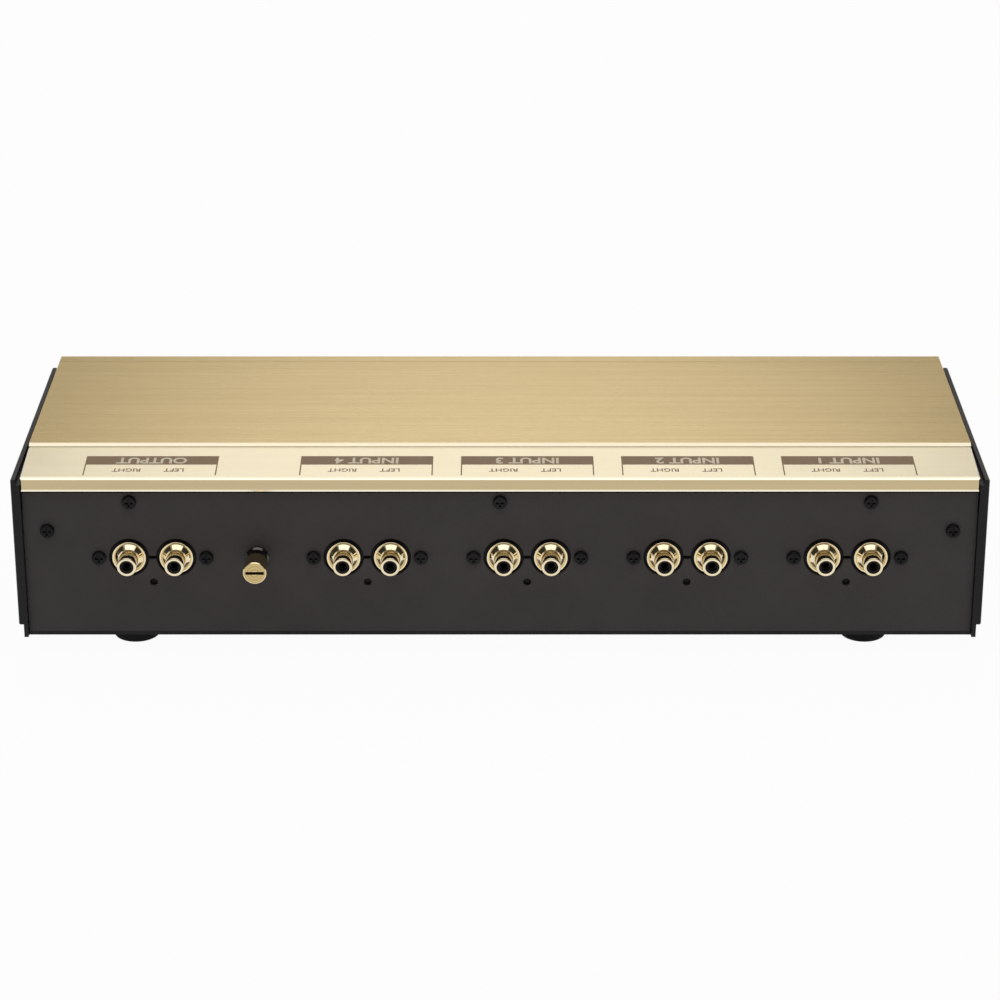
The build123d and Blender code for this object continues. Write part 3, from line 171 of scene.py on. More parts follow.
# %% Light the room
room_colour = (1.0, 0.94, 0.85, 1.0)
room_levels = {-0.35: 0.36, 0.0: 0.14, 0.2: 0.035, 0.5: 0.035, 0.85: 0.30}  # strength by direction along Y
overhead_from, overhead_full, overhead_level = 0.70, 0.86, 0.65  # two directions along Z, added strength
studio = bpy.data.worlds.new("studio_room")
bpy.context.scene.world = studio
studio.use_nodes = True
room = studio.node_tree
ray_way = put(room, "ShaderNodeTexCoord").outputs["Generated"]
way = put(room, "ShaderNodeSeparateXYZ", Vector=ray_way).outputs
way_share = put(room, "ShaderNodeMapRange", Value=way["Y"], From_Min=-1.0).outputs["Result"]
room_ramp = put(room, "ShaderNodeValToRGB", Fac=way_share)
stops = room_ramp.color_ramp.elements
while len(stops) < len(room_levels):
    stops.new(1.0)
for stop, (way_y, level) in zip(stops, room_levels.items()):
    stop.position = (way_y + 1.0) / 2.0
    stop.color = (level, level, level, 1.0)
overhead = put(
    room, "ShaderNodeMapRange",
    Value=way["Z"], From_Min=overhead_from, From_Max=overhead_full, To_Max=overhead_level,
)
room_strength = calc(room, "ADD", room_ramp.outputs["Color"], overhead.outputs["Result"])
fill(room, room.nodes["Background"], Color=room_colour, Strength=room_strength)
print("room light by direction along Y:", room_levels, "and overhead", overhead_level)

# %% Hang the softboxes
def softbox(name, shape, place, aim, size, power):
    """A flat lamp that faces the point it is aimed at."""
    bpy.ops.object.select_all(action="DESELECT")
    facing = (Vector(aim) - Vector(place)).to_track_quat("-Z", "Y")
    bpy.ops.object.light_add(type="AREA", location=place, rotation=facing.to_euler())
    lamp = bpy.context.object
    lamp.name = name
    lamp.data.shape = shape
    lamp.data.size, lamp.data.size_y = size
    lamp.data.energy = power
    print(name, "at", place, "power", power)


softbox(
    "softbox_behind", "ELLIPSE",
    place=(0.0, -1.13, 1.02), aim=(0.0, 0.03, 0.08), size=(1.06, 1.12), power=3.5,
)
softbox(
    "softbox_over_camera", "RECTANGLE",
    place=(0.0, 0.56, 1.27), aim=(0.0, 0.07, 0.06), size=(1.6, 0.6), power=2.7,
)

# %% [markdown]
# ## Building blocks for the finishes
# Most finishes here are a quiet pattern that changes colour, gloss and height a little. Patterns that more
# than one finish uses become node groups with named sockets: brushed lines, a fine grain, and the smudges
# that handling leaves. Each finish then places the group with its own scale. One more group finds the
# chamfers: makers often cut these last with a diamond tool, which leaves a bright facet round a dull face,
# and a facet is a face whose normal lies along none of the three axes.

# %% Start a node group
def start_group(name, vector, numbers, results):
    """A shader node group with a vector and numbers going in, and numbers coming out."""
    group = bpy.data.node_groups.new(name, "ShaderNodeTree")
    group.interface.new_socket(vector, in_out="INPUT", socket_type="NodeSocketVector")
    for label in numbers:
        group.interface.new_socket(label, in_out="INPUT", socket_type="NodeSocketFloat")
    for label in results:
        group.interface.new_socket(label, in_out="OUTPUT", socket_type="NodeSocketFloat")
    return group, group.nodes.new("NodeGroupInput").outputs, group.nodes.new("NodeGroupOutput")


def share(tree, value, low, high):
    """Zero where the value is low, one where it is high, and even in between."""
    return put(tree, "ShaderNodeMapRange", Value=value, From_Min=low, From_Max=high).outputs["Result"]


def pattern(tree, place, scale, detail, low=0.3, high=0.7):
    """A noise with its usual range, from low to high, stretched from zero to one."""
    noise = put(tree, "ShaderNodeTexNoise", Vector=place, Scale=scale, Detail=detail)
    return share(tree, noise.outputs[0], low, high)


print("helpers:", start_group.__name__, share.__name__, pattern.__name__)

# %% Brushed lines
lines_group, lines_in, lines_out = start_group("brushed_lines", "Vector", [], ["Lines", "Streaks"])
fill(
    lines_group, lines_out,
    Lines=pattern(lines_group, lines_in["Vector"], scale=1.0, detail=3.0),
    Streaks=pattern(lines_group, lines_in["Vector"], scale=0.3, detail=4.0),
)
print("group:", lines_group.name, len(lines_group.nodes), "nodes")

# %% Fine grain and smudges
grain_group, grain_in, grain_out = start_group("fine_grain", "Vector", ["Grains"], ["Grain", "Mottle"])
fill(
    grain_group, grain_out,
    Grain=pattern(grain_group, grain_in["Vector"], scale=grain_in["Grains"], detail=2.0),
    Mottle=pattern(grain_group, grain_in["Vector"], scale=60.0, detail=4.0),
)
smudge_group, smudge_in, smudge_out = start_group("handling_smudges", "Vector", [], ["Smudge"])
fill(
    smudge_group, smudge_out,
    Smudge=pattern(smudge_group, smudge_in["Vector"], scale=22.0, detail=5.0, low=0.45, high=0.75),
)
print("groups:", grain_group.name, smudge_group.name)

# %% Bright-cut edges
axis_cosine = 0.97  # a face whose normal is nearer than this to an axis is no chamfer
cut_group, cut_in, cut_out = start_group("bright_cut_edges", "Normal", [], ["Cut"])
facing = put(cut_group, "ShaderNodeVectorMath")
facing.operation = "ABSOLUTE"
feed(cut_group, facing.inputs[0], cut_in["Normal"])
cosines = put(cut_group, "ShaderNodeSeparateXYZ", Vector=facing.outputs["Vector"]).outputs
larger = calc(cut_group, "MAXIMUM", cosines["X"], cosines["Y"])
largest = calc(cut_group, "MAXIMUM", larger, cosines["Z"])
fill(cut_group, cut_out, Cut=calc(cut_group, "LESS_THAN", largest, axis_cosine))
cut_angle = math.degrees(math.acos(axis_cosine))
print("group:", cut_group.name, "faces turned from all axes by", round(cut_angle, 1), "degrees")

# %% Start a finish
def start_finish(name, **sockets):
    """A material whose shader has these plain values, with the piece's own coordinates ready."""
    finish = bpy.data.materials.new(name)
    finish.use_nodes = True
    tree = finish.node_tree
    shader = fill(tree, tree.nodes["Principled BSDF"], **sockets)
    place = put(tree, "ShaderNodeTexCoord").outputs["Object"]
    return finish, tree, shader, place


def use_group(tree, group, **sockets):
    """Place a node group in a material."""
    made = put(tree, "ShaderNodeGroup")
    made.node_tree = group
    return fill(tree, made, **sockets).outputs


def cut_edges(tree):
    """One on the chamfers of the piece, else zero."""
    face_way = put(tree, "ShaderNodeTexCoord").outputs["Normal"]
    return use_group(tree, cut_group, Normal=face_way)["Cut"]


print("helpers:", start_finish.__name__, use_group.__name__, cut_edges.__name__)

# %% Let a pattern drive a colour, a value or a height
def two_tone(tree, mask, low, high):
    """A colour that goes from low to high with the mask."""
    ramp = put(tree, "ShaderNodeValToRGB", Fac=mask)
    ramp.color_ramp.elements[0].color = (*low, 1.0)
    ramp.color_ramp.elements[1].color = (*high, 1.0)
    return ramp.outputs["Color"]


def blend(tree, mask, low, high):
    """A colour that goes from one colour socket to another with the mask."""
    mix = put(tree, "ShaderNodeMix", Factor=mask)
    mix.data_type = "RGBA"
    colours_in = [socket for socket in mix.inputs if socket.type == "RGBA"]
    tree.links.new(low, colours_in[0])
    tree.links.new(high, colours_in[1])
    return next(socket for socket in mix.outputs if socket.type == "RGBA")


def between(tree, mask, low, high):
    """A value that goes from low to high with the mask."""
    return put(tree, "ShaderNodeMapRange", Value=mask, To_Min=low, To_Max=high).outputs["Result"]


def raised(tree, height, depth, strength):
    """A normal that follows a pattern of this depth in metres."""
    return put(tree, "ShaderNodeBump", Height=height, Distance=depth, Strength=strength).outputs["Normal"]


print("helpers:", two_tone.__name__, blend.__name__, between.__name__, raised.__name__)

# %% [markdown]
# ## Champagne gold, brushed
# The top and front are thick aluminium, brushed along the width and anodised a pale gold. Brushing leaves
# lines that are hair-thin across and several centimetres long, so the coordinates are stretched before they
# reach the noise. The lines change the gloss more than the colour, as they do on real metal. The chamfers
# are cut after that, so they are paler and shinier.

# %% Brushed gold
cut_low, cut_high, cut_roughness = (0.62, 0.57, 0.45), (0.66, 0.61, 0.49), 0.18
smudge_roughness = 0.03
brushed_gold, tree, shader, place = start_finish("champagne_brushed", Metallic=1.0)
along_width = put(tree, "ShaderNodeMapping", Vector=place, Scale=(14.0, 5200.0, 5200.0))
lines = use_group(tree, lines_group, Vector=along_width.outputs["Vector"])
smudge = use_group(tree, smudge_group, Vector=place)["Smudge"]
cut = cut_edges(tree)
gold_colour = two_tone(tree, lines["Streaks"], (0.515, 0.39, 0.178), (0.615, 0.475, 0.235))
cut_colour = two_tone(tree, lines["Streaks"], cut_low, cut_high)
line_gloss = between(tree, lines["Lines"], 0.25, 0.34)
smudged_gloss = calc(tree, "MULTIPLY_ADD", smudge, smudge_roughness, line_gloss)
cut_gloss = put(tree, "ShaderNodeMix", Factor=cut, A=smudged_gloss, B=cut_roughness)
fill(
    tree, shader,
    Base_Color=blend(tree, cut, gold_colour, cut_colour),
    Roughness=cut_gloss.outputs["Result"],
    Normal=raised(tree, lines["Lines"], depth=0.00003, strength=0.25),
)
print("finish:", brushed_gold.name)

# %% [markdown]
# ## Satin gold for the label strip
# The strip is an extrusion with a finer, silkier surface than the top, so it looks paler in the same light.
# It gets the same lines, much finer, and on its slope a paler gold than on its lip, a painted highlight
# where the slope catches more light. The height tells the slope from the lip, and also the upper chamfer
# from the lower one, which is painted far paler still as the brightest line of all, a painted highlight.

# %% Satin gold
lip_top_z, slope_low_z = 0.0816, 0.0822
satin_gold, tree, shader, place = start_finish("champagne_satin", Metallic=1.0)
along_strip = put(tree, "ShaderNodeMapping", Vector=place, Scale=(26.0, 9000.0, 9000.0))
lines = use_group(tree, lines_group, Vector=along_strip.outputs["Vector"])
smudge = use_group(tree, smudge_group, Vector=place)["Smudge"]
cut = cut_edges(tree)
height = put(tree, "ShaderNodeSeparateXYZ", Vector=place).outputs["Z"]
on_slope = share(tree, height, lip_top_z, slope_low_z)
lip_colour = two_tone(tree, lines["Streaks"], (0.58, 0.465, 0.275), (0.62, 0.50, 0.30))
# painted highlight: the slope is painted a paler gold than the lip, where light falls brighter on it
slope_highlight_colour = two_tone(tree, lines["Streaks"], (0.62, 0.555, 0.40), (0.655, 0.59, 0.435))
# painted highlight: the lower chamfer is painted far paler than the upper one, as the brightest line
lower_cut_highlight = two_tone(tree, lines["Streaks"], (0.92, 0.84, 0.66), (0.96, 0.88, 0.70))
upper_cut = two_tone(tree, lines["Streaks"], cut_low, cut_high)
satin_colour_with_highlight = blend(tree, on_slope, lip_colour, slope_highlight_colour)
cut_colour = blend(tree, on_slope, lower_cut_highlight, upper_cut)
satin_gloss = between(tree, smudge, 0.30, 0.35)
cut_gloss = put(tree, "ShaderNodeMix", Factor=cut, A=satin_gloss, B=cut_roughness)
fill(
    tree, shader,
    Base_Color=blend(tree, cut, satin_colour_with_highlight, cut_colour),
    Roughness=cut_gloss.outputs["Result"],
    Normal=raised(tree, lines["Lines"], depth=0.00001, strength=0.15),
)
print("finish:", satin_gold.name)

# %% [markdown]
# ## Turned metal for the knob and the ground screw
# Round parts are cut on a lathe, so their lines are rings around their own axis. The distance from that
# axis, many times magnified, drives a noise that then only changes from ring to ring. The knob is gold like
# the front. The ground screw is brass that has gone deeper than the plated jacks. Its rim is painted a
# paler brass, a painted highlight, and its slot, which is whatever lies below the face of the head and
# inside the rim, is painted almost black, a painted shade.

# %% Turned rings
rings_group, rings_in, rings_out = start_group("turned_rings", "Vector", ["Rings"], ["Ring", "Radius"])
across = put(rings_group, "ShaderNodeMapping", Vector=rings_in["Vector"], Scale=(1.0, 0.0, 1.0))
from_axis = put(rings_group, "ShaderNodeVectorMath")
from_axis.operation = "LENGTH"
feed(rings_group, from_axis.inputs[0], across.outputs["Vector"])
radius = from_axis.outputs["Value"]
along_axis = put(rings_group, "ShaderNodeSeparateXYZ", Vector=rings_in["Vector"]).outputs["Y"]
ring_place = put(rings_group, "ShaderNodeCombineXYZ", X=radius, Y=along_axis).outputs["Vector"]
ring_noise = put(
    rings_group, "ShaderNodeTexNoise", Vector=ring_place, Scale=rings_in["Rings"], Detail=2.0
)
fill(rings_group, rings_out, Ring=ring_noise.outputs[0], Radius=radius)
print("group:", rings_group.name, len(rings_group.nodes), "nodes")

# %% Turned gold
knob_low, knob_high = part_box("knob")
knob_axis_z = (knob_low.z + knob_high.z) / 2
turned_gold, tree, shader, place = start_finish("champagne_turned", Metallic=1.0)
on_axis = put(tree, "ShaderNodeMapping", Vector=place, Location=(0.0, 0.0, -knob_axis_z))
ring = use_group(tree, rings_group, Vector=on_axis.outputs["Vector"], Rings=4200.0)["Ring"]
fill(
    tree, shader,
    Base_Color=two_tone(tree, ring, (0.49, 0.375, 0.185), (0.61, 0.475, 0.245)),
    Roughness=between(tree, ring, 0.22, 0.36),
    Normal=raised(tree, ring, depth=0.00002, strength=0.3),
)
print("finish:", turned_gold.name, "round an axis at z", round(knob_axis_z, 4))

# %% Find the rim and the slot of the ground screw
slot_from_y, slot_full_y = -0.00005, -0.00030  # measured from the face of the head
rim_in_radius, rim_out_radius = 0.0042, 0.0044
head_low, head_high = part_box("ground_screw")
head_middle = (head_low + head_high) / 2
turned_brass, tree, shader, place = start_finish("turned_brass")
face_place = (-head_middle.x, -head_high.y, -head_middle.z)
on_face = put(tree, "ShaderNodeMapping", Vector=place, Location=face_place).outputs["Vector"]
rings = use_group(tree, rings_group, Vector=on_face, Rings=1500.0)
from_face = put(tree, "ShaderNodeSeparateXYZ", Vector=on_face).outputs["Y"]
sunk = share(tree, from_face, slot_from_y, slot_full_y)
inside_rim = share(tree, rings["Radius"], rim_out_radius, rim_in_radius)
shaded_slot = calc(tree, "MULTIPLY", sunk, inside_rim)
print("ground screw's face at y", round(head_high.y, 4), "rim from radius", rim_in_radius)

# %% Turned brass with a painted highlight on the rim and painted shade in the slot
ring_mask = share(tree, rings["Ring"], 0.35, 0.65)
face_colour = two_tone(tree, ring_mask, (0.36, 0.255, 0.09), (0.74, 0.585, 0.29))
# painted highlight: the rim outside the face is painted paler than the face
rim_highlight_colour = two_tone(tree, ring_mask, (0.72, 0.58, 0.32), (0.84, 0.70, 0.42))
# painted shade: the slot is painted almost black, as shade falls in it
slot_shade_colour = two_tone(tree, rings["Ring"], (0.022, 0.011, 0.004), (0.045, 0.024, 0.010))
brass_with_rim_highlight = blend(tree, inside_rim, rim_highlight_colour, face_colour)
fill(
    tree, shader,
    Base_Color=blend(tree, shaded_slot, brass_with_rim_highlight, slot_shade_colour),
    Metallic=between(tree, shaded_slot, 1.0, 0.0),
    Roughness=between(tree, shaded_slot, 0.22, 0.75),
    Normal=raised(tree, rings["Ring"], depth=0.00002, strength=0.3),
)
print("finish:", turned_brass.name)

# %% [markdown]
# ## Charcoal powder coat
# The rear panel is steel with a dark grey powder coat. Powder melts into a skin with a very fine bumpy
# grain, which breaks up reflections and keeps the panel dark and even. Many of the other finishes are
# grained too, each with its own colours, gloss and depth, so one function makes them all.

# %% Charcoal coat
def grained(
    name, grains, low, high, roughness, depth, strength, colour_by="Mottle", gloss_by="Grain", **sockets
):
    """A finish whose colour, roughness and height vary with the grain."""
    finish, tree, shader, place = start_finish(name, **sockets)
    grain = use_group(tree, grain_group, Vector=place, Grains=grains)
    fill(
        tree, shader,
        Base_Color=two_tone(tree, grain[colour_by], low, high),
        Roughness=between(tree, grain[gloss_by], *roughness),
        Normal=raised(tree, grain["Grain"], depth, strength),
    )
    print("finish:", finish.name)
    return finish


charcoal = grained(
    "charcoal_powder", grains=2600.0, Specular_IOR_Level=0.35,
    low=(0.0615, 0.0548, 0.0590), high=(0.0695, 0.0622, 0.0666),
    roughness=(0.52, 0.66), depth=0.00006, strength=0.35,
)

# %% [markdown]
# ## Black satin paint
# The side skins and the tray are painted steel, smoother than the powder coat and a little glossy. Their
# edges catch a thin grey light, so the paint keeps some gloss, and smudges dull it in places.

# %% Black paint
black_paint, tree, shader, place = start_finish("black_satin_paint", Specular_IOR_Level=0.22)
grain = use_group(tree, grain_group, Vector=place, Grains=3400.0)
smudge = use_group(tree, smudge_group, Vector=place)["Smudge"]
fill(
    tree, shader,
    Base_Color=two_tone(tree, grain["Mottle"], (0.0105, 0.0095, 0.0105), (0.0155, 0.014, 0.0155)),
    Roughness=between(tree, smudge, 0.36, 0.48),
    Normal=raised(tree, grain["Grain"], depth=0.00003, strength=0.25),
)
print("finish:", black_paint.name)

# %% [markdown]
# ## Black screws, plastic and rubber
# Several blacks lie side by side at the rear and have to differ. The screws are blackened steel, a dark
# metal with some shine, and the ground terminal's base is plated with black nickel, which is shinier. The
# jack plates and insulators are moulded plastic, and the feet are matt rubber.

# %% Blackened steel and black nickel
blackened = grained(
    "blackened_steel", grains=5200.0, Metallic=0.6, Specular_IOR_Level=0.25,
    low=(0.008, 0.0078, 0.0084), high=(0.018, 0.0175, 0.0185),
    roughness=(0.28, 0.42), depth=0.00002, strength=0.3,
)
black_nickel = grained(
    "black_nickel", grains=3600.0, Metallic=1.0,
    low=(0.070, 0.064, 0.068), high=(0.095, 0.088, 0.092),
    roughness=(0.16, 0.26), depth=0.00001, strength=0.1,
)

# %% Moulded plastic and foot rubber
moulded = grained(
    "black_moulded_plastic", grains=4200.0, Specular_IOR_Level=0.18,
    low=(0.004, 0.004, 0.0043), high=(0.007, 0.007, 0.0073),
    roughness=(0.38, 0.52), depth=0.00002, strength=0.2,
)
rubber = grained(
    "matt_foot_rubber", grains=1500.0, Specular_IOR_Level=0.25,
    low=(0.012, 0.0115, 0.0115), high=(0.021, 0.02, 0.0195),
    roughness=(0.72, 0.9), depth=0.0001, strength=0.35,
)

# %% [markdown]
# ## Gold plate
# The jacks and the ground terminal's washer are brass with a polished gold plate. Gold shows the room
# around it, so the finish is almost a mirror, with a faint tarnish and smudges that dull it in places.

# %% Polished gold plate
gold_plate, tree, shader, place = start_finish("polished_gold_plate", Metallic=1.0)
grain = use_group(tree, grain_group, Vector=place, Grains=900.0)
smudge = use_group(tree, smudge_group, Vector=place)["Smudge"]
fill(
    tree, shader,
    Base_Color=two_tone(tree, grain["Mottle"], (0.80, 0.685, 0.455), (0.88, 0.785, 0.565)),
    Roughness=between(tree, smudge, 0.05, 0.11),
    Normal=raised(tree, grain["Grain"], depth=0.00001, strength=0.06),
)
print("finish:", gold_plate.name)

# %% [markdown]
# ## Metals and boards inside the casing
# The brackets, nuts and shafts are zinc-plated steel, whose plating crystallises in small flakes. The
# jacks' contacts are dull tin. The switch's springs, contacts and bush are plain brass. Its wafers are
# phenolic paper board, and the signal board is green glass fibre with copper tracks under its lacquer.

# %% Zinc-plated steel
zinc, tree, shader, place = start_finish("zinc_plated_steel", Metallic=1.0)
flakes = put(tree, "ShaderNodeTexVoronoi", Vector=place, Scale=260.0)
flake = put(tree, "ShaderNodeSeparateColor", Color=flakes.outputs["Color"]).outputs["Red"]
grain = use_group(tree, grain_group, Vector=place, Grains=3000.0)
fill(
    tree, shader,
    Base_Color=two_tone(tree, flake, (0.46, 0.465, 0.48), (0.60, 0.60, 0.61)),
    Roughness=between(tree, flake, 0.30, 0.44),
    Normal=raised(tree, grain["Grain"], depth=0.00002, strength=0.2),
)
print("finish:", zinc.name)

# %% Dull tin and plain brass
tin = grained(
    "dull_tin", grains=2600.0, Metallic=1.0,
    low=(0.10, 0.098, 0.095), high=(0.17, 0.165, 0.16),
    roughness=(0.45, 0.6), depth=0.00002, strength=0.2,
)
brass = grained(
    "plain_brass", grains=2400.0, Metallic=1.0,
    low=(0.60, 0.42, 0.155), high=(0.74, 0.55, 0.23),
    roughness=(0.24, 0.38), depth=0.00002, strength=0.15, gloss_by="Mottle",
)

# %% Phenolic paper
phenolic = grained(
    "phenolic_paper", grains=1800.0, Specular_IOR_Level=0.4,
    low=(0.15, 0.075, 0.03), high=(0.24, 0.13, 0.055),
    roughness=(0.40, 0.55), depth=0.00003, strength=0.2,
)

# %% Green board with tracks
green_board, tree, shader, place = start_finish("green_board", Roughness=0.35)
upright = put(tree, "ShaderNodeMapping", Vector=place, Rotation=(math.radians(90), 0.0, 0.0))
tracks = put(
    tree, "ShaderNodeTexBrick",
    Vector=upright.outputs["Vector"], Scale=60.0, Mortar_Size=0.035, Mortar_Smooth=0.1,
)
track = tracks.outputs["Fac"]
fill(
    tree, shader,
    Base_Color=two_tone(tree, track, (0.018, 0.105, 0.04), (0.045, 0.19, 0.065)),
    Normal=raised(tree, track, depth=0.00004, strength=0.5),
)
print("finish:", green_board.name)

# %% [markdown]
# ## Paint and printing ink
# The pointer and the dial's lines are filled with black enamel. The strip's labels are screen printed: a
# brown ink for the brackets and the channels, and a pale ink for the names inside the bars. Ink from a
# screen is slightly uneven, so its colour varies with the fine grain.

# %% Enamel and inks
def ink(name, low, high, roughness):
    """A printed or painted finish with the screen's fine unevenness."""
    return grained(
        name, 3800.0, low, high, roughness, depth=0.00001, strength=0.2,
        colour_by="Grain", gloss_by="Mottle", Specular_IOR_Level=0.15,
    )


enamel = ink("black_enamel", (0.012, 0.011, 0.011), (0.02, 0.018, 0.018), roughness=(0.18, 0.28))
brown_ink = ink("brown_ink", (0.265, 0.187, 0.118), (0.335, 0.243, 0.162), roughness=(0.5, 0.62))
pale_ink = ink("pale_ink", (0.76, 0.69, 0.55), (0.84, 0.77, 0.63), roughness=(0.5, 0.62))

# %% [markdown]
# ## Dress the CAD nodes
# The record says which material slot each CAD node has. One finish stands for each slot, with three
# exceptions: the knob shares the front's slot, but its lines are rings, the ground screw shares the jacks'
# slot, but is a deeper brass, and the ground terminal's base is black like the screws, but shinier.

# %% Give each node its finish
slot_finish = {
    "gold_brushed": brushed_gold,
    "gold_strip": satin_gold,
    "charcoal": charcoal,
    "black_steel": black_paint,
    "black_screw": blackened,
    "gold_plate": gold_plate,
    "black_plastic": moulded,
    "foot_rubber": rubber,
    "steel": zinc,
    "board": green_board,
    "phenolic": phenolic,
    "contact_brass": brass,
    "contact_tin": tin,
    "pointer": enamel,
}
node_finish = {part["node"]: slot_finish[part["material_slot"]] for part in frame["record"]["subparts"]}
node_finish["knob"] = turned_gold
node_finish["ground_screw"] = turned_brass
node_finish["ground_base"] = black_nickel
for name, node in frame["nodes"].items():
    for material_slot in node.material_slots:
        material_slot.material = node_finish[name]
print("dressed nodes:", len(node_finish))

# %% [markdown]
# ## The painted shadow under the lip
# A fine black line runs under the strip's lip in the photograph: the lip's shadow on the rear panel. It is
# painted as a strip of near-black paint, a cube scaled to a thin strip as wide as the panel, just outside
# the panel and just under the lip.

# %% Near-black paint for the painted shadow
# painted shadow: near-black paint for the strip that stands for the lip's shadow
shadow_strip_paint, tree, shader, place = start_finish("painted_shadow_black", Roughness=0.95, Specular_IOR_Level=0.05)
grain = use_group(tree, grain_group, Vector=place, Grains=2200.0)["Grain"]
fill(
    tree, shader,
    Base_Color=two_tone(tree, grain, (0.002, 0.002, 0.002), (0.006, 0.0055, 0.0055)),
    Normal=raised(tree, grain, depth=0.0001, strength=0.5),
)
print("finish:", shadow_strip_paint.name)

# %% The painted shadow strip
shadow_strip_height, shadow_strip_thickness, shadow_strip_gap = 0.0012, 0.0004, 0.00003
lip_drop = 0.0100  # top face down to the lip's lower edge
lip_low_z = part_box("top_panel")[1].z - lip_drop
bpy.ops.object.select_all(action="DESELECT")
# painted shadow: a thin black strip under the lip stands for the lip's shadow on the rear panel
bpy.ops.mesh.primitive_cube_add(size=1.0)
lip_shadow_strip = bpy.context.object
lip_shadow_strip.name = "lip_shadow_strip"
lip_shadow_strip.scale = (rear_panel_high.x - rear_panel_low.x, shadow_strip_thickness, shadow_strip_height)
lip_shadow_strip.location = (
    0.0,
    rear_panel_high.y + shadow_strip_gap + shadow_strip_thickness / 2,
    lip_low_z - shadow_strip_gap - shadow_strip_height / 2,
)
bpy.ops.object.transform_apply(location=True, rotation=True, scale=True)
lip_shadow_strip.data.materials.append(shadow_strip_paint)
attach(lip_shadow_strip, "chassis")
print("painted shadow strip under the lip at z", round(lip_low_z, 5))

# %% [markdown]
# ## The printed labels
# Each pair of jacks has a printed bracket over it on the strip: a bar with the pair's name and a short leg
# at both ends. The labels are read from the front, over the top of the casing, so their letters stand on
# their heads in this view. A bracket starts as a plane of the bar's size. Two bisects cut off its ends, the
# ends' rear edges are extruded into legs, and the sheet gets a skin's thickness.

# %% Helpers for flat pieces
def flat_sheet(name, width, depth):
    """A rectangle, flat on the ground and open for edits."""
    bpy.ops.object.select_all(action="DESELECT")
    bpy.ops.mesh.primitive_plane_add(size=1.0)
    sheet = bpy.context.object
    sheet.name = name
    sheet.scale = (width, depth, 1.0)
    bpy.ops.object.transform_apply(location=True, rotation=True, scale=True)
    bpy.ops.object.mode_set(mode="EDIT")
    return sheet


def thicken(thickness):
    """In edit mode, pull the whole sheet up to this thickness and end the edits."""
    bpy.ops.mesh.select_all(action="SELECT")
    bpy.ops.mesh.extrude_region_move(TRANSFORM_OT_translate={"value": (0.0, 0.0, thickness)})
    bpy.ops.mesh.select_all(action="SELECT")
    bpy.ops.mesh.normals_make_consistent(inside=False)
    bpy.ops.object.mode_set(mode="OBJECT")


def select_edges(test):
    """In edit mode, select the edges whose middle passes the test."""
    bpy.ops.mesh.select_mode(type="EDGE")
    bpy.ops.mesh.select_all(action="DESELECT")
    mesh = bmesh.from_edit_mesh(bpy.context.object.data)
    picked = [edge for edge in mesh.edges if test((edge.verts[0].co + edge.verts[1].co) / 2)]
    for edge in picked:
        edge.select_set(True)
    mesh.select_flush_mode()
    bmesh.update_edit_mesh(bpy.context.object.data)
    return len(picked)


print("helpers:", flat_sheet.__name__, thicken.__name__, select_edges.__name__)

# %% Model one bracket, flat on the ground
bar_width, bar_depth = 0.056, 0.0080
leg_width, leg_length = 0.00055, 0.0101
ink_thickness = 0.00004
rear_edge_y = 0.49 * bar_depth  # only the rear edges lie beyond this
label_bracket = flat_sheet("label_bracket", bar_width, bar_depth)
leg_from_x = bar_width / 2 - leg_width
for side in (-1.0, 1.0):
    bpy.ops.mesh.select_all(action="SELECT")
    bpy.ops.mesh.bisect(plane_co=(side * leg_from_x, 0.0, 0.0), plane_no=(1.0, 0.0, 0.0))
leg_count = select_edges(lambda middle: middle.y > rear_edge_y and abs(middle.x) > leg_from_x)
bpy.ops.mesh.extrude_region_move(TRANSFORM_OT_translate={"value": (0.0, leg_length, 0.0)})
thicken(ink_thickness)
label_bracket.data.materials.append(brown_ink)
print("bracket:", leg_count, "legs,", len(label_bracket.data.polygons), "faces")

# %% Find the slope of the strip
upward_cosine = 0.95
strip_mesh = frame["nodes"]["label_strip"].data
upward_faces = [face for face in strip_mesh.polygons if face.normal.z > upward_cosine]
slope_face = max(upward_faces, key=lambda face: face.area)
strip_slope = math.atan2(-slope_face.normal.y, slope_face.normal.z)
strip_front_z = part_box("label_strip")[1].z
strip_front_y = slope_face.center.y + (strip_front_z - slope_face.center.z) / math.tan(strip_slope)
print("strip slope in degrees:", round(math.degrees(strip_slope), 2), "from y", round(strip_front_y, 5))

# %% Lay a piece on the strip
def fix_place(piece, place, turn):
    """Move and turn a piece, and apply that to its mesh."""
    bpy.ops.object.select_all(action="DESELECT")
    piece.select_set(True)
    bpy.context.view_layer.objects.active = piece
    piece.rotation_euler = turn
    piece.location = place
    bpy.ops.object.transform_apply(location=True, rotation=True, scale=True)


def lay_on_strip(piece, x, back, lift):
    """Put a flat piece on the sloping strip, so far back from its front edge."""
    z = strip_front_z + back * math.tan(strip_slope) + lift
    fix_place(piece, (x, strip_front_y + back, z), (strip_slope, 0.0, 0.0))
    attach(piece, "chassis")


def copy_of(piece, name):
    """A copy with its own mesh."""
    made = piece.copy()
    made.data = piece.data.copy()
    made.name = name
    bpy.context.scene.collection.objects.link(made)
    return made


print("helpers:", fix_place.__name__, lay_on_strip.__name__, copy_of.__name__)

# %% Print a bracket over each pair
bar_back, bar_lift = 0.0131, -0.00001  # a little below the surface, so that no gap shows
pair_middles = {}
for pair in ("output", "input_1", "input_2", "input_3", "input_4"):
    low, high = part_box(f"jack_shells_{pair}")
    pair_middles[pair] = (low.x + high.x) / 2
for pair, x in pair_middles.items():
    bracket = copy_of(label_bracket, f"label_bracket_{pair}")
    lay_on_strip(bracket, x, bar_back, bar_lift)
bpy.data.objects.remove(label_bracket)
print("brackets at x in mm:", [round(1000 * x, 1) for x in pair_middles.values()])

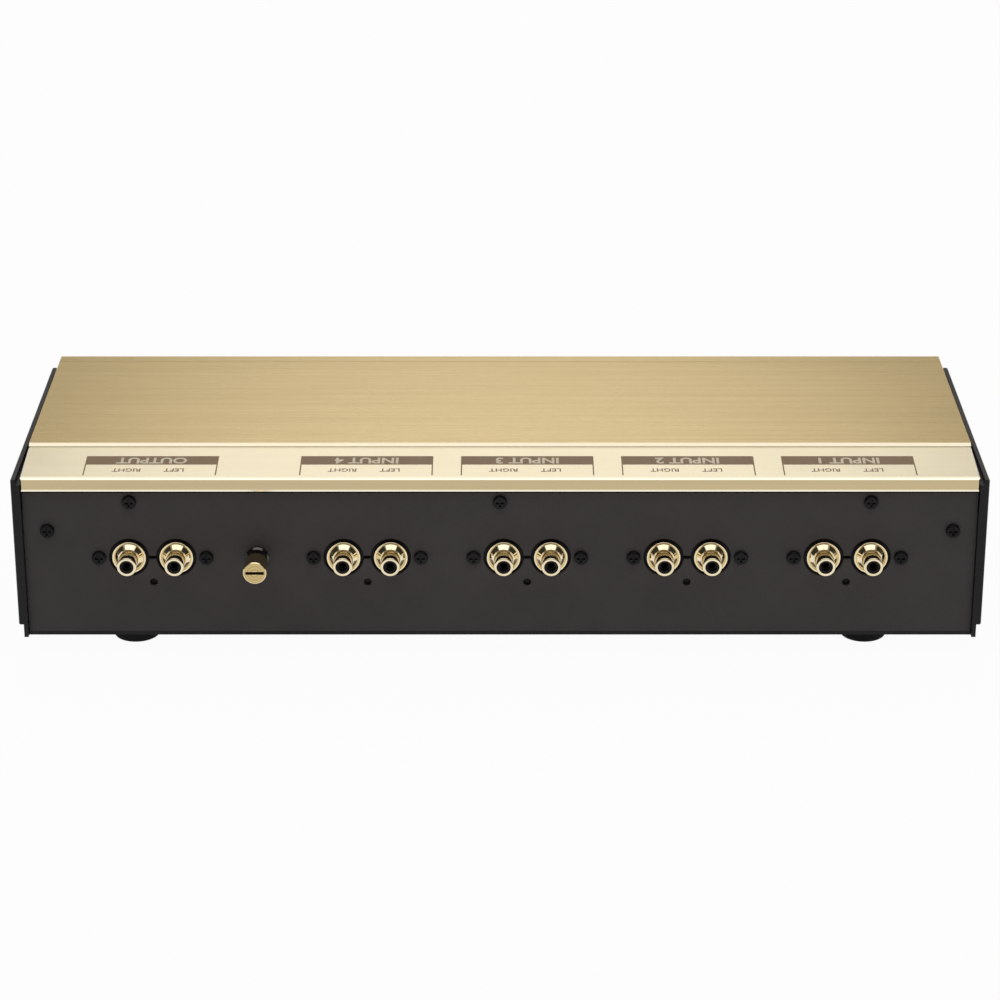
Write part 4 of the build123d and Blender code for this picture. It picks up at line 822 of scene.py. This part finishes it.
# %% Make a word
capital_share = 0.69  # a capital's height in the font's size
curve_steps = 4


def printed_word(name, text, height, finish, weight):
    """A word as a thin mesh, flat on the ground and centred, with capitals of this height."""
    bpy.ops.object.select_all(action="DESELECT")
    bpy.ops.object.text_add()
    word = bpy.context.object
    word.data.body = text
    word.data.size = height / capital_share
    word.data.align_x = "CENTER"
    word.data.align_y = "CENTER"
    word.data.extrude = ink_thickness / 2
    word.data.offset = weight
    word.data.resolution_u = curve_steps
    bpy.ops.object.convert(target="MESH")
    word = bpy.context.object
    word.name = name
    word.data.materials.append(finish)
    return word


print("helper:", printed_word.__name__)

# %% Print the names and the channels
name_height, name_weight, name_lift = 0.0052, 0.0002, 0.00004  # the names lie on top of the bars
channel_height, channel_weight, channel_lift = 0.0029, 0.00006, 0.00001
channel_back = 0.0221
jack_offset = 0.010
for pair, x in pair_middles.items():
    text = pair.replace("_", " ").upper()
    title = printed_word(f"label_name_{pair}", text, name_height, pale_ink, name_weight)
    lay_on_strip(title, x, bar_back, name_lift)
    for channel, side in (("left", -1.0), ("right", 1.0)):
        name = f"label_{channel}_{pair}"
        word = printed_word(name, channel.upper(), channel_height, brown_ink, channel_weight)
        lay_on_strip(word, x + side * jack_offset, channel_back, channel_lift)
print("words:", 3 * len(pair_middles))

# %% [markdown]
# ## The dial on the front
# The front isn't in the photograph, so it is kept plain: an engraved ring round the knob with a tick for
# each of the four inputs. Engraving is usually filled with paint, so the ring and the ticks get enamel
# that ends just below the surface, and each tick gets its number.

# %% Fill the ring
front_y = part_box("front_panel")[0].y
ring_radius, ring_steps = 0.03003, 144
groove_width, groove_depth = 0.0008, 0.0004
fill_clearance, fill_below = 0.00004, 0.00012
fill_width, fill_depth = groove_width - fill_clearance, groove_depth - fill_below
inner_radius, outer_radius = ring_radius - fill_width / 2, ring_radius + fill_width / 2
bpy.ops.object.select_all(action="DESELECT")
bpy.ops.mesh.primitive_circle_add(vertices=ring_steps, radius=inner_radius)
dial_fill = bpy.context.object
dial_fill.name = "dial_ring_fill"
bpy.ops.object.mode_set(mode="EDIT")
bpy.ops.mesh.select_all(action="SELECT")
bpy.ops.mesh.extrude_region_move()
outward = outer_radius / inner_radius
bpy.ops.transform.resize(value=(outward, outward, 1.0), center_override=(0.0, 0.0, 0.0))
thicken(fill_depth)
dial_fill.data.materials.append(enamel)
print("ring fill faces:", len(dial_fill.data.polygons))

# %% Stand a flat piece on the front
def stand_on_front(piece, x, z, y, turn=0.0):
    """Turn a flat piece to face the front, at this place."""
    fix_place(piece, (x, y, z), (math.radians(90), -turn, 0.0))
    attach(piece, "chassis")


groove_floor_y = front_y + groove_depth
stand_on_front(dial_fill, 0.0, knob_axis_z, groove_floor_y)
print("ring filled at y", round(front_y + fill_below, 5))

# %% Fill the ticks and number them
dial_angles = [135.0, 105.0, 75.0, 45.0]
tick_length, number_gap = 0.004, 0.0028
number_height, number_weight, number_lift = 0.0031, 0.00009, 0.00001
tick = flat_sheet("dial_tick", tick_length, fill_width)
thicken(fill_depth)
tick.data.materials.append(enamel)
for number, angle in enumerate(map(math.radians, dial_angles), start=1):
    way = Vector((math.cos(angle), 0.0, math.sin(angle)))
    middle = (ring_radius + tick_length / 2 + fill_width / 4) * way
    tick_fill = copy_of(tick, f"dial_tick_fill_{number}")
    stand_on_front(tick_fill, middle.x, knob_axis_z + middle.z, groove_floor_y, angle)
    spot = (ring_radius + tick_length + number_gap) * way
    numeral = printed_word(f"dial_number_{number}", str(number), number_height, enamel, number_weight)
    stand_on_front(numeral, spot.x, knob_axis_z + spot.z, front_y - number_lift)
bpy.data.objects.remove(tick)
print("ticks and numbers:", len(dial_angles))
